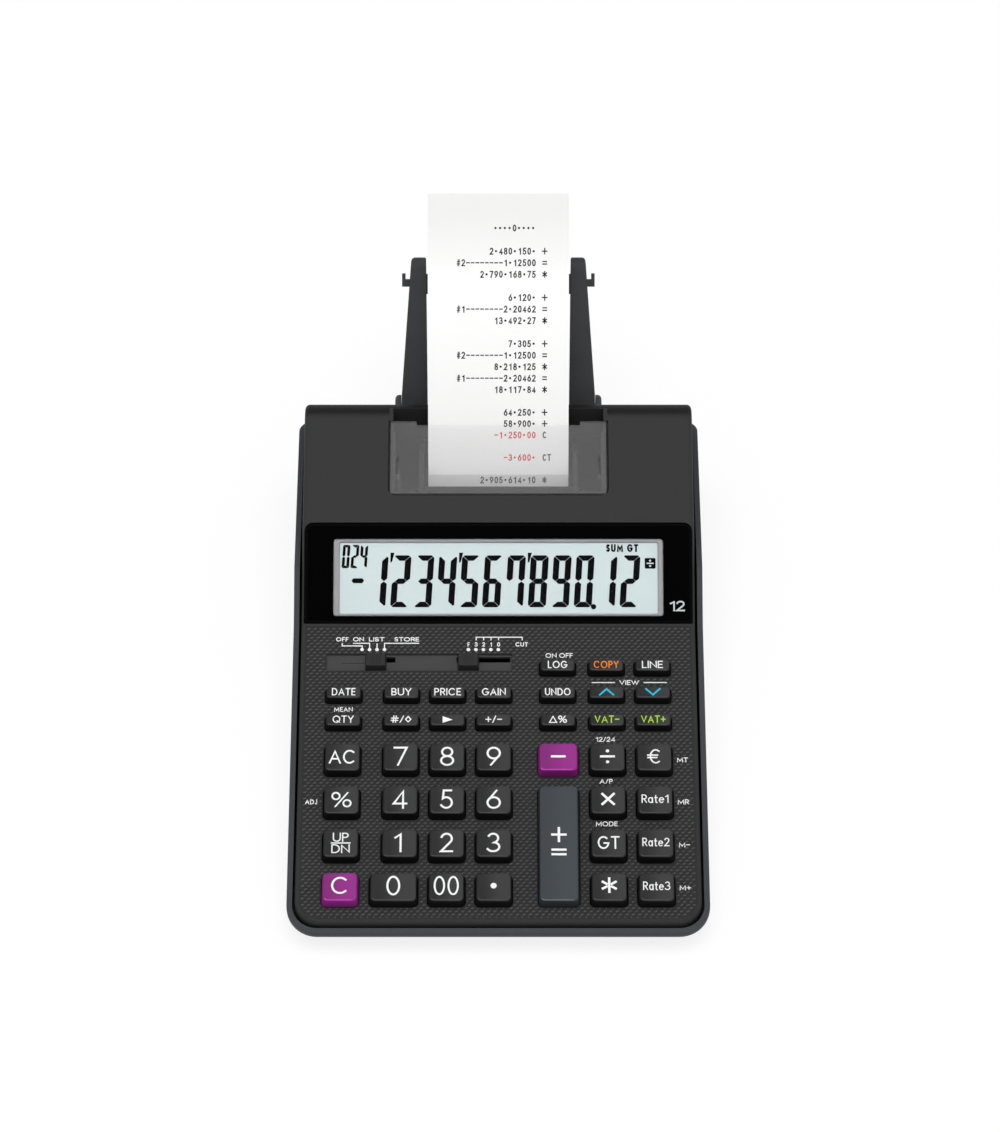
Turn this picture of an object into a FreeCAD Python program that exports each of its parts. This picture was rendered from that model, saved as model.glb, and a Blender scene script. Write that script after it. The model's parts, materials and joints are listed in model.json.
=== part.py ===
import FreeCAD, Part
import math
import os

Vector = FreeCAD.Vector

# Clearances between pieces
seam_gap = 1.0            # between the bottom case rim and the top cover
running_gap = 0.3         # between pieces that move past each other
shaft_gap = 0.05          # round a pin or shaft in its hole
key_gap = 0.35            # round each key in its hole

# Key field, seen square to its slope
column_steps = (23.0, 18.4, 18.4, 25.5, 19.45, 18.45)
row_step = 19.03
small_row_step = 12.42
key_width = 14.4
wide_key_width = 16.0
key_depth = 13.2
small_key_depth = 6.2
key_height = 4.2
small_key_height = 3.8
key_taper = 0.6           # per side, from base to top
key_corner = 1.8
small_key_corner = 1.2
key_edge = 0.5            # bevel round the top face
key_wall = 1.0
key_top_wall = 1.6
key_flange = 0.8          # ledge that holds the key under the panel
key_flange_height = 1.0
key_travel = 2.5
key_stem = 1.8
key_stem_lift = 0.1       # stem ends just above the key's lower rim
key_rest_gap = 0.4        # left below a key at the end of its travel
zero_key_extra = 4.4      # the zero key reaches further left
field_front_margin = 6.8
field_side_margin = 10.5
field_group_gap = 7.2     # between the large and the small keys
field_rear_margin = 17.25

# Slopes of the top, from front to rear
field_slope = 8.5
display_slope = 27.0
housing_slope = 13.0
display_length = 42.86
housing_length = 46.986   # flat part, before the rear curve
rear_radius = 10.5
field_bend_radius = 6.0
display_bend_radius = 3.0

# Casing
foot_height = 2.5
foot_radius = 5.0
foot_seat = 0.5
foot_taper = 1.0
foot_fit = 0.1            # round a foot in its recess
foot_inset = 14.0
case_wall = 2.2
case_floor = 2.4
case_corner = 12.0
case_bottom_radius = 8.0
case_floor_radius = 4.0   # inside, clear of the cover's front skirt
case_clear = 200.0        # cutting blocks reach past the whole case
front_lip_height = 13.35  # top of the key field at its front edge
rail_drop = 2.2           # rail below the key field and display
rail_level = 42.0         # height where the rail leaves the display slope
rail_slope = 0.0
skirt_depth = 4.0         # top cover inside the rail
cover_wall = 2.2
cover_edge = 2.0
bend_rib = 3.4            # thicker wall under the bend of key field and display

# Display
lens_rim = 1.1
lens_margin = 0.8
lens_corner = 3.4
lens_thickness = 2.0
lens_sink = 0.3
display_floor = 1.9
lcd_half_width = 66.4
lcd_depth = 32.1
lcd_start = 3.7
lcd_border = 2.4
lcd_border_depth = 1.25
lcd_pocket = 0.8
lcd_flange = 2.5
lcd_flange_thickness = 1.6

# Slide switches
switch_groove_depth = 0.9
switch_groove_start = 2.5     # behind the front of the rearmost small key row
switch_groove_width = 7.6
switch_slot_width = 2.5
switch_slot_offset = 1.65
switch_knob_width = 8.6
switch_knob_depth = 6.8
switch_knob_height = 2.6
switch_stem_width = 4.0
switch_foot_height = 1.1
switch_foot_reach = 1.0
switch_grip_count = 3
switch_grip_depth = 0.4
switch_step = 3.0
switch_end_room = 0.5
groove_end_room = 9.0
power_steps_left = 2
power_steps_right = 1
decimal_steps_right = 4
power_from_column = 12.5      # knob centre right of the first column
decimal_from_column = 8.2     # knob centre right of the third column

# Paper and printer
paper_width = 57.5
paper_thickness = 0.2
paper_lean = 52.0
paper_curl_radius = 350.0
paper_out_length = 95.3
paper_in_length = 29.0
roll_radius = 28.0
roll_core_radius = 6.0
roll_bore_radius = 4.5
roll_side_room = 0.25
feed_radius = 7.0
feed_shaft_radius = 1.5
feed_end_room = 1.25
frame_plate = 2.0
frame_depth = 38.0
frame_height = 30.0
frame_front_room = 16.0
frame_side_room = 3.75
frame_base_room = 6.0         # under the feed roller
frame_corner = 2.0
frame_rear_share = 0.6        # height of the side plates at the rear
frame_wall_share = 0.55
ink_roller_radius = 3.0
motor_radius = 8.0
motor_length = 26.0
motor_sink = 1.0              # motor set into the front wall of the mechanism

# Printer cover and the opening below it
window_start = 12.0
window_length = 33.6
window_side = 15.85           # beyond the paper edge
window_notch_side = 4.65      # tear edge beyond the paper edge
window_notch_depth = 1.7
window_thickness = 1.5
window_corner = 3.2
window_ledge = 2.6            # width of the ledge that carries the cover
window_clip_length = 8.0
window_clip_width = 1.2
window_clip_depth = 4.5
window_clip_start = 10.0
exit_side = 14.25             # paper exit beyond the paper edge
exit_room = 8.5               # paper exit behind the tear edge
well_wall = 1.6               # moulded walls round the printer opening
well_depth = 18.0

# Arms that carry the roll
arm_lean = 47.0
arm_length = 52.3             # pivot to roll axis
arm_tip = 11.0                # beyond the roll axis
arm_inner_room = 0.65
arm_base_width = 10.7
arm_tip_width = 6.6
arm_inner_taper = 0.6         # inner face leans away from the paper
arm_tip_corner = 1.8
arm_base_depth = 11.4
arm_tip_depth = 9.0
arm_pin_radius = 2.5
arm_nub_radius = 4.2
arm_nub_length = 5.4
ear_thickness = 2.5
ear_radius = 6.0
ear_edge = 1.7                # softened outer edge of an ear
ear_round = 0.98              # share of a full half round at an ear's or arm's end
pivot_behind_case = 8.1
pivot_height = 40.6
hook_reach = 3.9
hook_length = 5.3
hook_foot = 2.9               # thickness of the part that stands off the arm
hook_finger = 1.4
hook_depth = 4.0
hook_back = 1.0
hook_root = 1.0

# Electronics, cells and supports
mat_thickness = 1.0
mat_inset = 2.0
mat_front_inset = 0.5
board_thickness = 1.6
board_front = 10.0
board_side_room = 10.4
board_rear_room = 7.6
dome_wall = 0.5
dome_height = 2.5
rib_thickness = 1.8
board_rib_offset = 50.0
board_rib_room = 2.0
frame_rib_inset = 6.0
frame_rib_room = 4.0
cell_radius = 7.25
cell_length = 49.0
cell_nub_radius = 2.75
cell_nub_length = 1.2
cell_count = 4
cell_room = 1.8
compartment_wall = 1.6
compartment_behind_board = 3.0
door_thickness = 2.0
door_overlap = 1.0
door_grip_count = 5
door_grip_half = 8.0
door_grip_step = 2.0
door_grip_depth = 0.5
boss_radius = 2.8
boss_inset = 5.9
boss_front = 17.0             # screw bosses along the key field, from its front, its rear
boss_middle = 14.0
boss_rear = 11.0              # and from the rear wall
boss_share = 0.6              # share of the height where the two halves of a boss meet
screw_recess_radius = 2.6
screw_recess_depth = 3.0
screw_recess_wall = 1.2
inlet_height = 4.0
inlet_side_room = 2.25
jack_radius = 2.9
jack_depth = 10.0
jack_wall = 2.1
jack_inset = 20.5
jack_height = 20.0

row_names = (
    ("key_clear", "key_0", "key_00", "key_point", "key_plus_equals", "key_total", "key_rate_3"),
    ("key_mark_up", "key_1", "key_2", "key_3", None, "key_grand_total", "key_rate_2"),
    ("key_percent", "key_4", "key_5", "key_6", None, "key_multiply", "key_rate_1"),
    ("key_all_clear", "key_7", "key_8", "key_9", "key_minus", "key_divide", "key_currency"),
)
small_row_names = (
    ("key_count", "key_subtotal", "key_back_step", "key_sign", "key_change", "key_tax_minus",
     "key_tax_plus"),
    ("key_time", "key_cost", "key_sell", "key_margin", "key_correct", "key_step_up", "key_step_down"),
    (None, None, None, None, "key_print", "key_reprint", "key_feed"),
)
wide_column = 4
tall_key_rows = 3

# Places worked out from the sizes above
columns = [sum(column_steps[:index]) - sum(column_steps) / 2 for index in range(len(column_steps) + 1)]
cover_half = columns[-1] + key_width / 2 + field_side_margin
case_half = cover_half + seam_gap + case_wall
cover_front = case_wall + seam_gap
large_rows = [field_front_margin + row_step * index for index in range(len(row_names))]
small_start = large_rows[-1] + key_depth + field_group_gap
small_rows = [small_start + small_row_step * index for index in range(len(small_row_names))]
field_length = small_rows[-1] + small_key_depth + field_rear_margin


def turn(angle):
    return math.cos(math.radians(angle)), math.sin(math.radians(angle))


def along(point, angle, length, rise=0.0):
    cosine, sine = turn(angle)
    return point[0] + length * cosine - rise * sine, point[1] + length * sine + rise * cosine


field_origin = (cover_front, front_lip_height)
display_origin = along(field_origin, field_slope, field_length)
housing_origin = along(display_origin, display_slope, display_length)
housing_end = along(housing_origin, housing_slope, housing_length)
cover_rear = housing_end[0] + rear_radius * (1 + turn(housing_slope)[1])
case_rear = cover_rear + seam_gap + case_wall
pivot = (case_rear + pivot_behind_case, pivot_height)
roll_axis = along(pivot, arm_lean, arm_length)
overall_depth = roll_axis[0] + roll_radius
floor_top = foot_height + case_floor
window_half = paper_width / 2 + window_side
tear_reach = window_start + window_length - window_notch_depth
tear_top = along(housing_origin, housing_slope, tear_reach)
tear_low = along(housing_origin, housing_slope, tear_reach, -window_thickness)
tear_point = along(tear_low, paper_lean, 0, -running_gap - paper_thickness / 2)
exit_rear = tear_top[0] + exit_room
exit_level = tear_top[1] - well_depth
flange_top = cover_wall + running_gap
flange_bottom = flange_top + key_flange_height
mat_top = flange_bottom + key_travel + key_rest_gap
board_top = mat_top + mat_thickness
board_bottom = board_top + board_thickness


def corner_line(first, first_angle, second, second_angle):
    # where two slanted lines of the side view meet
    cosine_a, sine_a = turn(first_angle)
    cosine_b, sine_b = turn(second_angle)
    run, rise = second[0] - first[0], second[1] - first[1]
    length = (run * sine_b - rise * cosine_b) / (cosine_a * sine_b - sine_a * cosine_b)
    return first[0] + length * cosine_a, first[1] + length * sine_a


def outline(points, radii):
    # closed wire in the XY plane with a tangent arc at each rounded corner
    corners = []
    for index, point in enumerate(points):
        here = Vector(point[0], point[1], 0)
        before = Vector(*points[index - 1], 0) - here
        after = Vector(*points[(index + 1) % len(points)], 0) - here
        before.normalize()
        after.normalize()
        half = before.getAngle(after) / 2
        reach = radii[index] / math.tan(half)
        inward = before + after
        if radii[index]:
            inward.normalize()
        middle = here + inward * (radii[index] / math.sin(half) - radii[index])
        corners.append((here + before * reach, middle, here + after * reach))
    edges = []
    for index, (start, middle, end) in enumerate(corners):
        if radii[index]:
            edges.append(Part.Arc(start, middle, end).toShape())
        following = corners[(index + 1) % len(corners)][0]
        if end.distanceToPoint(following) > 1e-6:
            edges.append(Part.LineSegment(end, following).toShape())
    return Part.Wire(edges)


def rectangle(x_low, y_low, x_high, y_high):
    return [(x_low, y_low), (x_high, y_low), (x_high, y_high), (x_low, y_high)]


def plate(points, radii, low, high):
    wire = outline(points, radii)
    wire.translate(Vector(0, 0, low))
    return Part.Face(wire).extrude(Vector(0, 0, high - low))


def block(x_low, y_low, low, x_high, y_high, high):
    return Part.makeBox(x_high - x_low, y_high - y_low, high - low, Vector(x_low, y_low, low))


def side_plate(points, radii, x_low, x_high):
    # side-view outline in Y and Z, extruded across X
    solid = Part.Face(outline(points, radii)).extrude(Vector(0, 0, x_high - x_low))
    across = FreeCAD.Rotation(Vector(1, 1, 1), 120)
    solid.Placement = FreeCAD.Placement(Vector(x_low, 0, 0), across)
    return solid


def cross_rod(center, radius, x_low, x_high):
    return Part.makeCylinder(radius, x_high - x_low, Vector(x_low, *center), Vector(1, 0, 0))


def on_slope(solid, origin, angle):
    tilt = FreeCAD.Placement(Vector(0, *origin), FreeCAD.Rotation(Vector(1, 0, 0), angle))
    solid.Placement = tilt.multiply(solid.Placement)
    return solid


def on_field(solid):
    return on_slope(solid, field_origin, field_slope)


def on_display(solid):
    return on_slope(solid, display_origin, display_slope)


def on_housing(solid):
    return on_slope(solid, housing_origin, housing_slope)


def key_places():
    # name, centre across, front edge along the field, width, depth, height, corner
    places = []
    for row, names in enumerate(row_names):
        for column, name in enumerate(names):
            if name is None:
                continue
            center, width, depth = columns[column], key_width, key_depth
            if column == wide_column:
                width = wide_key_width
            if name == "key_plus_equals":
                depth += row_step * (tall_key_rows - 1)
            if name == "key_0":
                width += zero_key_extra
                center -= zero_key_extra / 2
            places.append((name, center, large_rows[row], width, depth, key_height, key_corner))
    for row, names in enumerate(small_row_names):
        for column, name in enumerate(names):
            if name is not None:
                places.append((name, columns[column], small_rows[row], key_width, small_key_depth,
                               small_key_height, small_key_corner))
    return places


def stem_centers(center, front, depth):
    # one stem per key, or one per row under the tall key
    count = max(1, round((depth - key_depth) / row_step) + 1)
    return [(center, front + depth * (index + 0.5) / count) for index in range(count)]


def key_solid(center, front, width, depth, height, corner):
    x_low, x_high, rear = center - width / 2, center + width / 2, front + depth

    def section(inset, level):
        points = rectangle(x_low + inset, front + inset, x_high - inset, rear - inset)
        wire = outline(points, [corner] * 4)
        wire.translate(Vector(0, 0, level))
        return wire

    skirt = Part.Face(section(0, -flange_top)).extrude(Vector(0, 0, flange_top))
    cap_sections = [section(0, 0), section(key_taper, height - key_edge),
                    section(key_taper + key_edge, height)]
    cap = Part.makeLoft(cap_sections, True, True)
    flange = block(x_low - key_flange, front - key_flange, -flange_bottom,
                   x_high + key_flange, rear + key_flange, -flange_top)
    hollow = block(x_low + key_wall, front + key_wall, -flange_bottom,
                   x_high - key_wall, rear - key_wall, height - key_top_wall)
    half = key_stem / 2
    stems = [block(x - half, y - half, key_stem_lift - flange_bottom,
                   x + half, y + half, height - key_top_wall / 2)
             for x, y in stem_centers(center, front, depth)]
    solid = skirt.fuse([cap, flange]).cut(hollow).fuse(stems).removeSplitter()
    return on_field(solid)


def cover_profile(field_drop, display_drop, housing_drop, rear_drop, bends, bottom):
    # side view of the top cover, each face moved inwards by its own drop
    field = along(field_origin, field_slope, 0, -field_drop)
    display = along(display_origin, display_slope, 0, -display_drop)
    housing = along(housing_origin, housing_slope, 0, -housing_drop)
    rear = cover_rear - rear_drop
    front = cover_front + rear_drop
    top_front = corner_line(field, field_slope, (front, 0), 90)
    field_end = corner_line(field, field_slope, display, display_slope)
    display_end = corner_line(display, display_slope, housing, housing_slope)
    top_rear = corner_line(housing, housing_slope, (rear, 0), 90)
    points = [(front, bottom), top_front, field_end, display_end, top_rear, (rear, bottom)]
    return points, [0, 0, bends[0], bends[1], bends[2], 0]


def rail_line(drop):
    # top edge of the bottom case in the side view, lowered by drop
    field = along(field_origin, field_slope, 0, -rail_drop)
    display = along(display_origin, display_slope, 0, -rail_drop)
    start = corner_line(field, field_slope, (-case_corner, 0), 90)
    bend = corner_line(field, field_slope, display, display_slope)
    leave = corner_line(display, display_slope, (0, rail_level), 0)
    end = along(leave, rail_slope, case_rear)
    return [(y, z - drop) for y, z in (start, bend, leave, end)]


def below_rail(drop, x_half):
    line = rail_line(drop)
    points = line + [(line[-1][0], -case_corner), (line[0][0], -case_corner)]
    return side_plate(points, [0] * len(points), -x_half, x_half)


def plan_prism(half, front, rear, front_corner, rear_corner, low, high):
    radii = [front_corner, front_corner, rear_corner, rear_corner]
    return plate(rectangle(-half, front, half, rear), radii, low, high)


def boss_places():
    # case screws beside the key field and in the rear corners, with the height where the bosses meet
    offset = cover_half - boss_inset
    front = along(field_origin, field_slope, boss_front)
    middle = along(field_origin, field_slope, field_length - boss_middle)
    rear = (cover_rear - boss_rear, housing_end[1])
    return [(side * offset, y, boss_share * level) for y, level in (front, middle, rear) for side in (-1, 1)]


def switch_line():
    # front edge of the switch groove along the field
    return small_rows[-1] + switch_groove_start


def switch_centers():
    return columns[0] + power_from_column, columns[2] + decimal_from_column


def switch_travels():
    power = (-power_steps_left * switch_step, power_steps_right * switch_step)
    decimal = (0.0, decimal_steps_right * switch_step)
    return power, decimal


def switch_cuts():
    start = switch_line()
    slot_middle = start + switch_groove_width / 2 + switch_slot_offset
    reach = switch_knob_width / 2 + switch_end_room
    ends = []
    cuts = []
    for center, travel in zip(switch_centers(), switch_travels()):
        low, high = center + travel[0] - reach, center + travel[1] + reach
        ends += [low, high]
        cuts.append(block(low, slot_middle - switch_slot_width / 2, -2 * cover_wall,
                          high, slot_middle + switch_slot_width / 2, cover_wall))
    groove = block(min(ends) - groove_end_room, start, -switch_groove_depth,
                   max(ends) + switch_end_room, start + switch_groove_width, cover_wall)
    return [on_field(cut) for cut in cuts + [groove]]


def switch_solid(center):
    start = switch_line()
    middle = start + switch_groove_width / 2
    half = switch_knob_width / 2
    low = running_gap - switch_groove_depth
    front = middle - switch_knob_depth / 2
    rear = middle + switch_knob_depth / 2
    crown = outline(rectangle(center - half, front, center + half, rear), [key_edge] * 4)
    crown.translate(Vector(0, 0, low))
    waist = outline(rectangle(center - half + key_taper, front + key_taper,
                              center + half - key_taper, rear - key_taper), [key_edge] * 4)
    waist.translate(Vector(0, 0, switch_knob_height))
    knob = Part.makeLoft([crown, waist], True, True)
    grip_step = switch_knob_width / (2 * switch_grip_count)
    grips = []
    for index in range(switch_grip_count):
        grip = center + grip_step * (index - (switch_grip_count - 1) / 2)
        grips.append(block(grip - grip_step / 4, front, switch_knob_height - switch_grip_depth,
                           grip + grip_step / 4, rear, switch_knob_height))
    slot_middle = middle + switch_slot_offset
    stem_half = switch_slot_width / 2 - running_gap
    stem_side = switch_stem_width / 2
    foot_side = stem_side + switch_foot_reach
    stem = block(center - stem_side, slot_middle - stem_half, -flange_top - switch_foot_height / 2,
                 center + stem_side, slot_middle + stem_half, 0)
    foot = block(center - foot_side, slot_middle - switch_slot_width, -flange_top - switch_foot_height,
                 center + foot_side, slot_middle + switch_slot_width, -flange_top)
    return on_field(knob.cut(grips).fuse([stem, foot]).removeSplitter())


def lens_outline(grow):
    half = cover_half - lens_rim + grow
    points = rectangle(-half, lens_margin - grow, half, display_length - lens_margin + grow)
    return points, [lens_margin, lens_margin, lens_corner + grow, lens_corner + grow]


def window_outline(grow):
    half = window_half + grow
    points = rectangle(-half, window_start - grow, half, window_start + window_length + grow)
    return points, [window_corner + grow, window_corner + grow, 0, 0]


def cover_edges(solid, prism_wire):
    # upper edges of the cover, and its upright rear corners
    chosen = []
    for edge in solid.Edges:
        middle = edge.valueAt((edge.FirstParameter + edge.LastParameter) / 2)
        spot = Part.Vertex(middle.x, middle.y, 0)
        on_outline = prism_wire.distToShape(spot)[0] < 1e-3
        upright = edge.BoundBox.XLength < 1e-6 and edge.BoundBox.YLength < 1e-6
        rear = abs(middle.y - cover_rear) < 1e-3
        if on_outline and middle.z > 1 and (not upright or rear):
            if not (rear and edge.BoundBox.XLength > 1):
                chosen.append(edge)
    return chosen


def top_cover():
    bends = (field_bend_radius, display_bend_radius, rear_radius)
    points, radii = cover_profile(0, 0, 0, 0, bends, 0)
    corner = case_corner - case_wall
    prism = plan_prism(cover_half, cover_front, cover_rear, corner, 0, 0, case_clear)
    outer = side_plate(points, radii, -cover_half, cover_half).common(prism)
    wire = outline(rectangle(-cover_half, cover_front, cover_half, cover_rear), [corner, corner, 0, 0])
    outer = outer.makeFillet(cover_edge, cover_edges(outer, wire))
    display_wall = lens_sink + lens_thickness + display_floor
    housing_wall = window_thickness + running_gap + cover_wall
    inner_points, inner_radii = cover_profile(cover_wall, display_wall, housing_wall, cover_wall,
                                              (0, 0, rear_radius - cover_wall), 0)
    rib_start = along(field_origin, field_slope, field_length - bend_rib, -cover_wall)
    rib_end = along(display_origin, display_slope, -bend_rib / 2, -display_wall)
    inner_points[2:3] = [rib_start, rib_end]
    inner_radii[2:3] = [0, 0]
    inner_prism = plan_prism(cover_half - cover_wall, cover_front + cover_wall, cover_rear - cover_wall,
                             corner - cover_wall, cover_edge, 0, case_clear)
    inner = side_plate(inner_points, inner_radii, -cover_half, cover_half).common(inner_prism)
    bosses = [Part.makeCylinder(boss_radius, case_clear, Vector(x, y, level)).common(outer)
              for x, y, level in boss_places()]
    opening_half = window_half - window_ledge
    opening_front = along(housing_origin, housing_slope, window_start + window_ledge)[0]
    well = block(-opening_half - well_wall, opening_front - well_wall, exit_level,
                 opening_half + well_wall, exit_rear + well_wall, case_clear).common(outer)
    shell = outer.cut(inner).cut(below_rail(skirt_depth, case_half)).fuse(bosses + [well])
    cuts = []
    for name, center, front, width, depth, height, key_round in key_places():
        points = rectangle(center - width / 2 - key_gap, front - key_gap,
                           center + width / 2 + key_gap, front + depth + key_gap)
        cuts.append(on_field(plate(points, [key_round + key_gap] * 4, -2 * cover_wall, cover_wall)))
    cuts += switch_cuts()
    sunk = lens_sink + lens_thickness
    cuts.append(on_display(plate(*lens_outline(running_gap), -sunk, case_wall)))
    cuts.append(on_display(block(-lcd_half_width - running_gap, lcd_start - running_gap, -2 * display_wall,
                                 lcd_half_width + running_gap, lcd_start + lcd_depth + running_gap, 0)))
    cuts.append(on_housing(plate(*window_outline(running_gap), -window_thickness - running_gap, case_wall)))
    low = exit_level - cover_wall
    cuts.append(block(-opening_half, opening_front, low, opening_half, tear_top[0], case_clear))
    exit_half = paper_width / 2 + exit_side
    cuts.append(block(-exit_half, tear_top[0] - window_notch_depth, low, exit_half, exit_rear, case_clear))
    return shell.cut(cuts).removeSplitter()


def compartment():
    # inner box of the cell compartment: x half, front, rear, ceiling
    half = (2 * cell_radius + running_gap) * cell_count / 2
    front = along(field_origin, field_slope, field_length - board_rear_room)[0] + compartment_behind_board
    rear = front + cell_length + cell_nub_length + cell_room
    ceiling = foot_height + door_thickness + 2 * cell_radius + 2 * running_gap
    return half, front, rear, ceiling


def door_outline(grow):
    half, front, rear, ceiling = compartment()
    reach = door_overlap + grow
    return rectangle(-half - reach, front - reach, half + reach, rear + reach)


def frame_box():
    # print mechanism: x half, front, rear, base and top
    feed = feed_axis()
    half = paper_width / 2 + frame_side_room
    front = feed[0] - frame_front_room
    base = feed[1] - feed_radius - frame_base_room
    return half, front, front + frame_depth, base, base + frame_height


def feed_axis():
    foot = along(tear_point, paper_lean, -paper_in_length)
    return along(foot, paper_lean, 0, -(feed_radius + running_gap + paper_thickness / 2))


def web_ends():
    # straight web of paper below the roll and below the feed roller
    feed = feed_axis()
    reach = running_gap + paper_thickness / 2
    big, small = roll_radius + reach, feed_radius + reach
    run, rise = feed[0] - roll_axis[0], feed[1] - roll_axis[1]
    distance = math.hypot(run, rise)
    heading = math.degrees(math.atan2(rise, run))
    normal = heading + math.degrees(math.acos((big - small) / distance))
    roll_end = along(roll_axis, normal, big)
    feed_end = along(feed, normal, small)
    return roll_end, feed_end, normal


def paper_side(shift):
    # one face of the paper, moved towards the feed roller by shift
    feed = feed_axis()
    roll_end, feed_end, normal = web_ends()
    wrap = feed_radius + running_gap + paper_thickness / 2 - shift
    web_start = along(roll_end, normal, -shift)
    web_stop = along(feed_end, normal, -shift)
    leave_angle = paper_lean + 90
    leave = along(feed, leave_angle, wrap)
    front = along(feed, (normal + leave_angle - 360) / 2, wrap)
    tear = along(tear_point, paper_lean, 0, -shift)
    curl_center = along(tear_point, paper_lean, 0, -paper_curl_radius)
    radius = paper_curl_radius - shift
    swing = math.degrees(paper_out_length / paper_curl_radius)
    half_way = along(curl_center, leave_angle - swing / 2, radius)
    end = along(curl_center, leave_angle - swing, radius)
    return web_start, web_stop, front, leave, tear, half_way, end


def flat(point):
    return Vector(point[0], point[1], 0)


def paper_edges(shift):
    web_start, web_stop, front, leave, tear, half_way, end = [flat(point) for point in paper_side(shift)]
    return [Part.LineSegment(web_start, web_stop).toShape(),
            Part.Arc(web_stop, front, leave).toShape(),
            Part.LineSegment(leave, tear).toShape(),
            Part.Arc(tear, half_way, end).toShape()]


def paper_strip():
    half = paper_thickness / 2
    upper, lower = paper_edges(half), paper_edges(-half)
    ends = [Part.LineSegment(flat(paper_side(half)[index]), flat(paper_side(-half)[index])).toShape()
            for index in (0, -1)]
    wire = Part.Wire(Part.sortEdges(upper + lower + ends)[0])
    solid = Part.Face(wire).extrude(Vector(0, 0, paper_width))
    across = FreeCAD.Rotation(Vector(1, 1, 1), 120)
    solid.Placement = FreeCAD.Placement(Vector(-paper_width / 2, 0, 0), across)
    return solid


def inlet_level():
    roll_end, feed_end, normal = web_ends()
    share = (case_rear - case_wall / 2 - feed_end[0]) / (roll_end[0] - feed_end[0])
    return feed_end[1] + share * (roll_end[1] - feed_end[1])


def ear(x_low, x_high):
    root = case_rear - case_wall / 2
    points = [(root, pivot[1] + ear_radius), (pivot[0] + ear_radius, pivot[1] + ear_radius),
              (pivot[0] + ear_radius, pivot[1] - ear_radius), (root, pivot[1] - 2 * ear_radius)]
    solid = side_plate(points, [0, ear_round * ear_radius, ear_round * ear_radius, 0], x_low, x_high)
    face = x_high if x_high > 0 else x_low
    outer = [edge for edge in solid.Edges if edge.BoundBox.YMax > root + 1e-3
             and max(abs(edge.BoundBox.XMin - face), abs(edge.BoundBox.XMax - face)) < 1e-6]
    return solid.makeFillet(ear_edge, outer)


def arm_limits():
    # inner and outer face of the arm, and the ear beside it
    inner = paper_width / 2 + arm_inner_room
    outer = inner + arm_base_width
    return inner, outer, (outer + running_gap, outer + running_gap + ear_thickness)


def bottom_case():
    rear_corner = cover_edge + seam_gap + case_wall
    prism = plan_prism(case_half, 0, case_rear, case_corner, rear_corner, foot_height, case_clear)
    rim = [edge for edge in prism.Edges if abs(edge.BoundBox.ZMax - foot_height) < 1e-6]
    outer = prism.makeFillet(case_bottom_radius, rim).common(below_rail(0, case_clear))
    hollow = plan_prism(case_half - case_wall, case_wall, case_rear - case_wall, case_corner - case_wall,
                        rear_corner - case_wall, floor_top, case_clear)
    floor_rim = [edge for edge in hollow.Edges if abs(edge.BoundBox.ZMax - floor_top) < 1e-6]
    hollow = hollow.makeFillet(case_floor_radius, floor_rim)
    shell = outer.cut(hollow)

    cell_half, cell_front, cell_rear, ceiling = compartment()
    wall = compartment_wall
    root = floor_top - case_floor / 2
    added = [block(-cell_half - wall, cell_front - wall, root,
                   cell_half + wall, cell_rear + wall, ceiling + wall)]
    for side in (-1, 1):
        middle = side * board_rib_offset
        top_start = along(field_origin, field_slope, board_front + board_rib_room, -board_bottom)
        rib_stop = field_length - board_rear_room - board_rib_room
        top_end = along(field_origin, field_slope, rib_stop, -board_bottom)
        rib = [(top_start[0], root), (top_end[0], root), top_end, top_start]
        added.append(side_plate(rib, [0] * 4, middle - rib_thickness / 2, middle + rib_thickness / 2))
        half, front, rear, base, top = frame_box()
        middle = side * (half - frame_rib_inset)
        added.append(block(middle - rib_thickness / 2, front + frame_rib_room, root,
                           middle + rib_thickness / 2, rear - frame_rib_room, base))
        low, high = sorted(side * place for place in arm_limits()[2])
        added.append(ear(low, high))
    collar_radius = screw_recess_radius + screw_recess_wall
    collar_height = foot_height + screw_recess_depth + screw_recess_wall - root
    for x, y, level in boss_places():
        added.append(Part.makeCylinder(boss_radius, level - root, Vector(x, y, root)))
        added.append(Part.makeCylinder(collar_radius, collar_height, Vector(x, y, root)))
    jack_x = jack_inset - case_half
    jack_end = case_rear - jack_depth - jack_wall
    added.append(Part.makeCylinder(jack_radius + jack_wall, jack_depth + jack_wall - case_wall / 2,
                                   Vector(jack_x, jack_end, jack_height), Vector(0, 1, 0)))
    shell = shell.fuse(added)

    level = inlet_level()
    inlet_half = paper_width / 2 + inlet_side_room
    cuts = [block(-cell_half, cell_front, 0, cell_half, cell_rear, ceiling),
            plate(door_outline(running_gap), [0] * 4, 0, foot_height + door_thickness + running_gap),
            block(-inlet_half, case_rear - 2 * case_wall, level - inlet_height / 2,
                  inlet_half, case_rear + case_wall, level + inlet_height / 2),
            Part.makeCylinder(jack_radius, jack_depth + case_wall,
                              Vector(jack_x, case_rear - jack_depth, jack_height), Vector(0, 1, 0)),
            cross_rod(pivot, arm_pin_radius + shaft_gap, -case_half, case_half)]
    cuts += [Part.makeCylinder(foot_radius + foot_fit, foot_height + foot_seat, Vector(x, y, 0))
             for x, y in foot_places()]
    cuts += [Part.makeCylinder(screw_recess_radius, foot_height + screw_recess_depth, Vector(x, y, 0))
             for x, y, level in boss_places()]
    return shell.cut(cuts).removeSplitter()


def foot_places():
    x = case_half - foot_inset
    return [(side * x, y) for y in (foot_inset, case_rear - foot_inset) for side in (-1, 1)]


def rubber_feet():
    height = foot_height + foot_seat
    return Part.makeCompound([Part.makeCone(foot_radius - foot_taper, foot_radius, height, Vector(x, y, 0))
                              for x, y in foot_places()])


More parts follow.
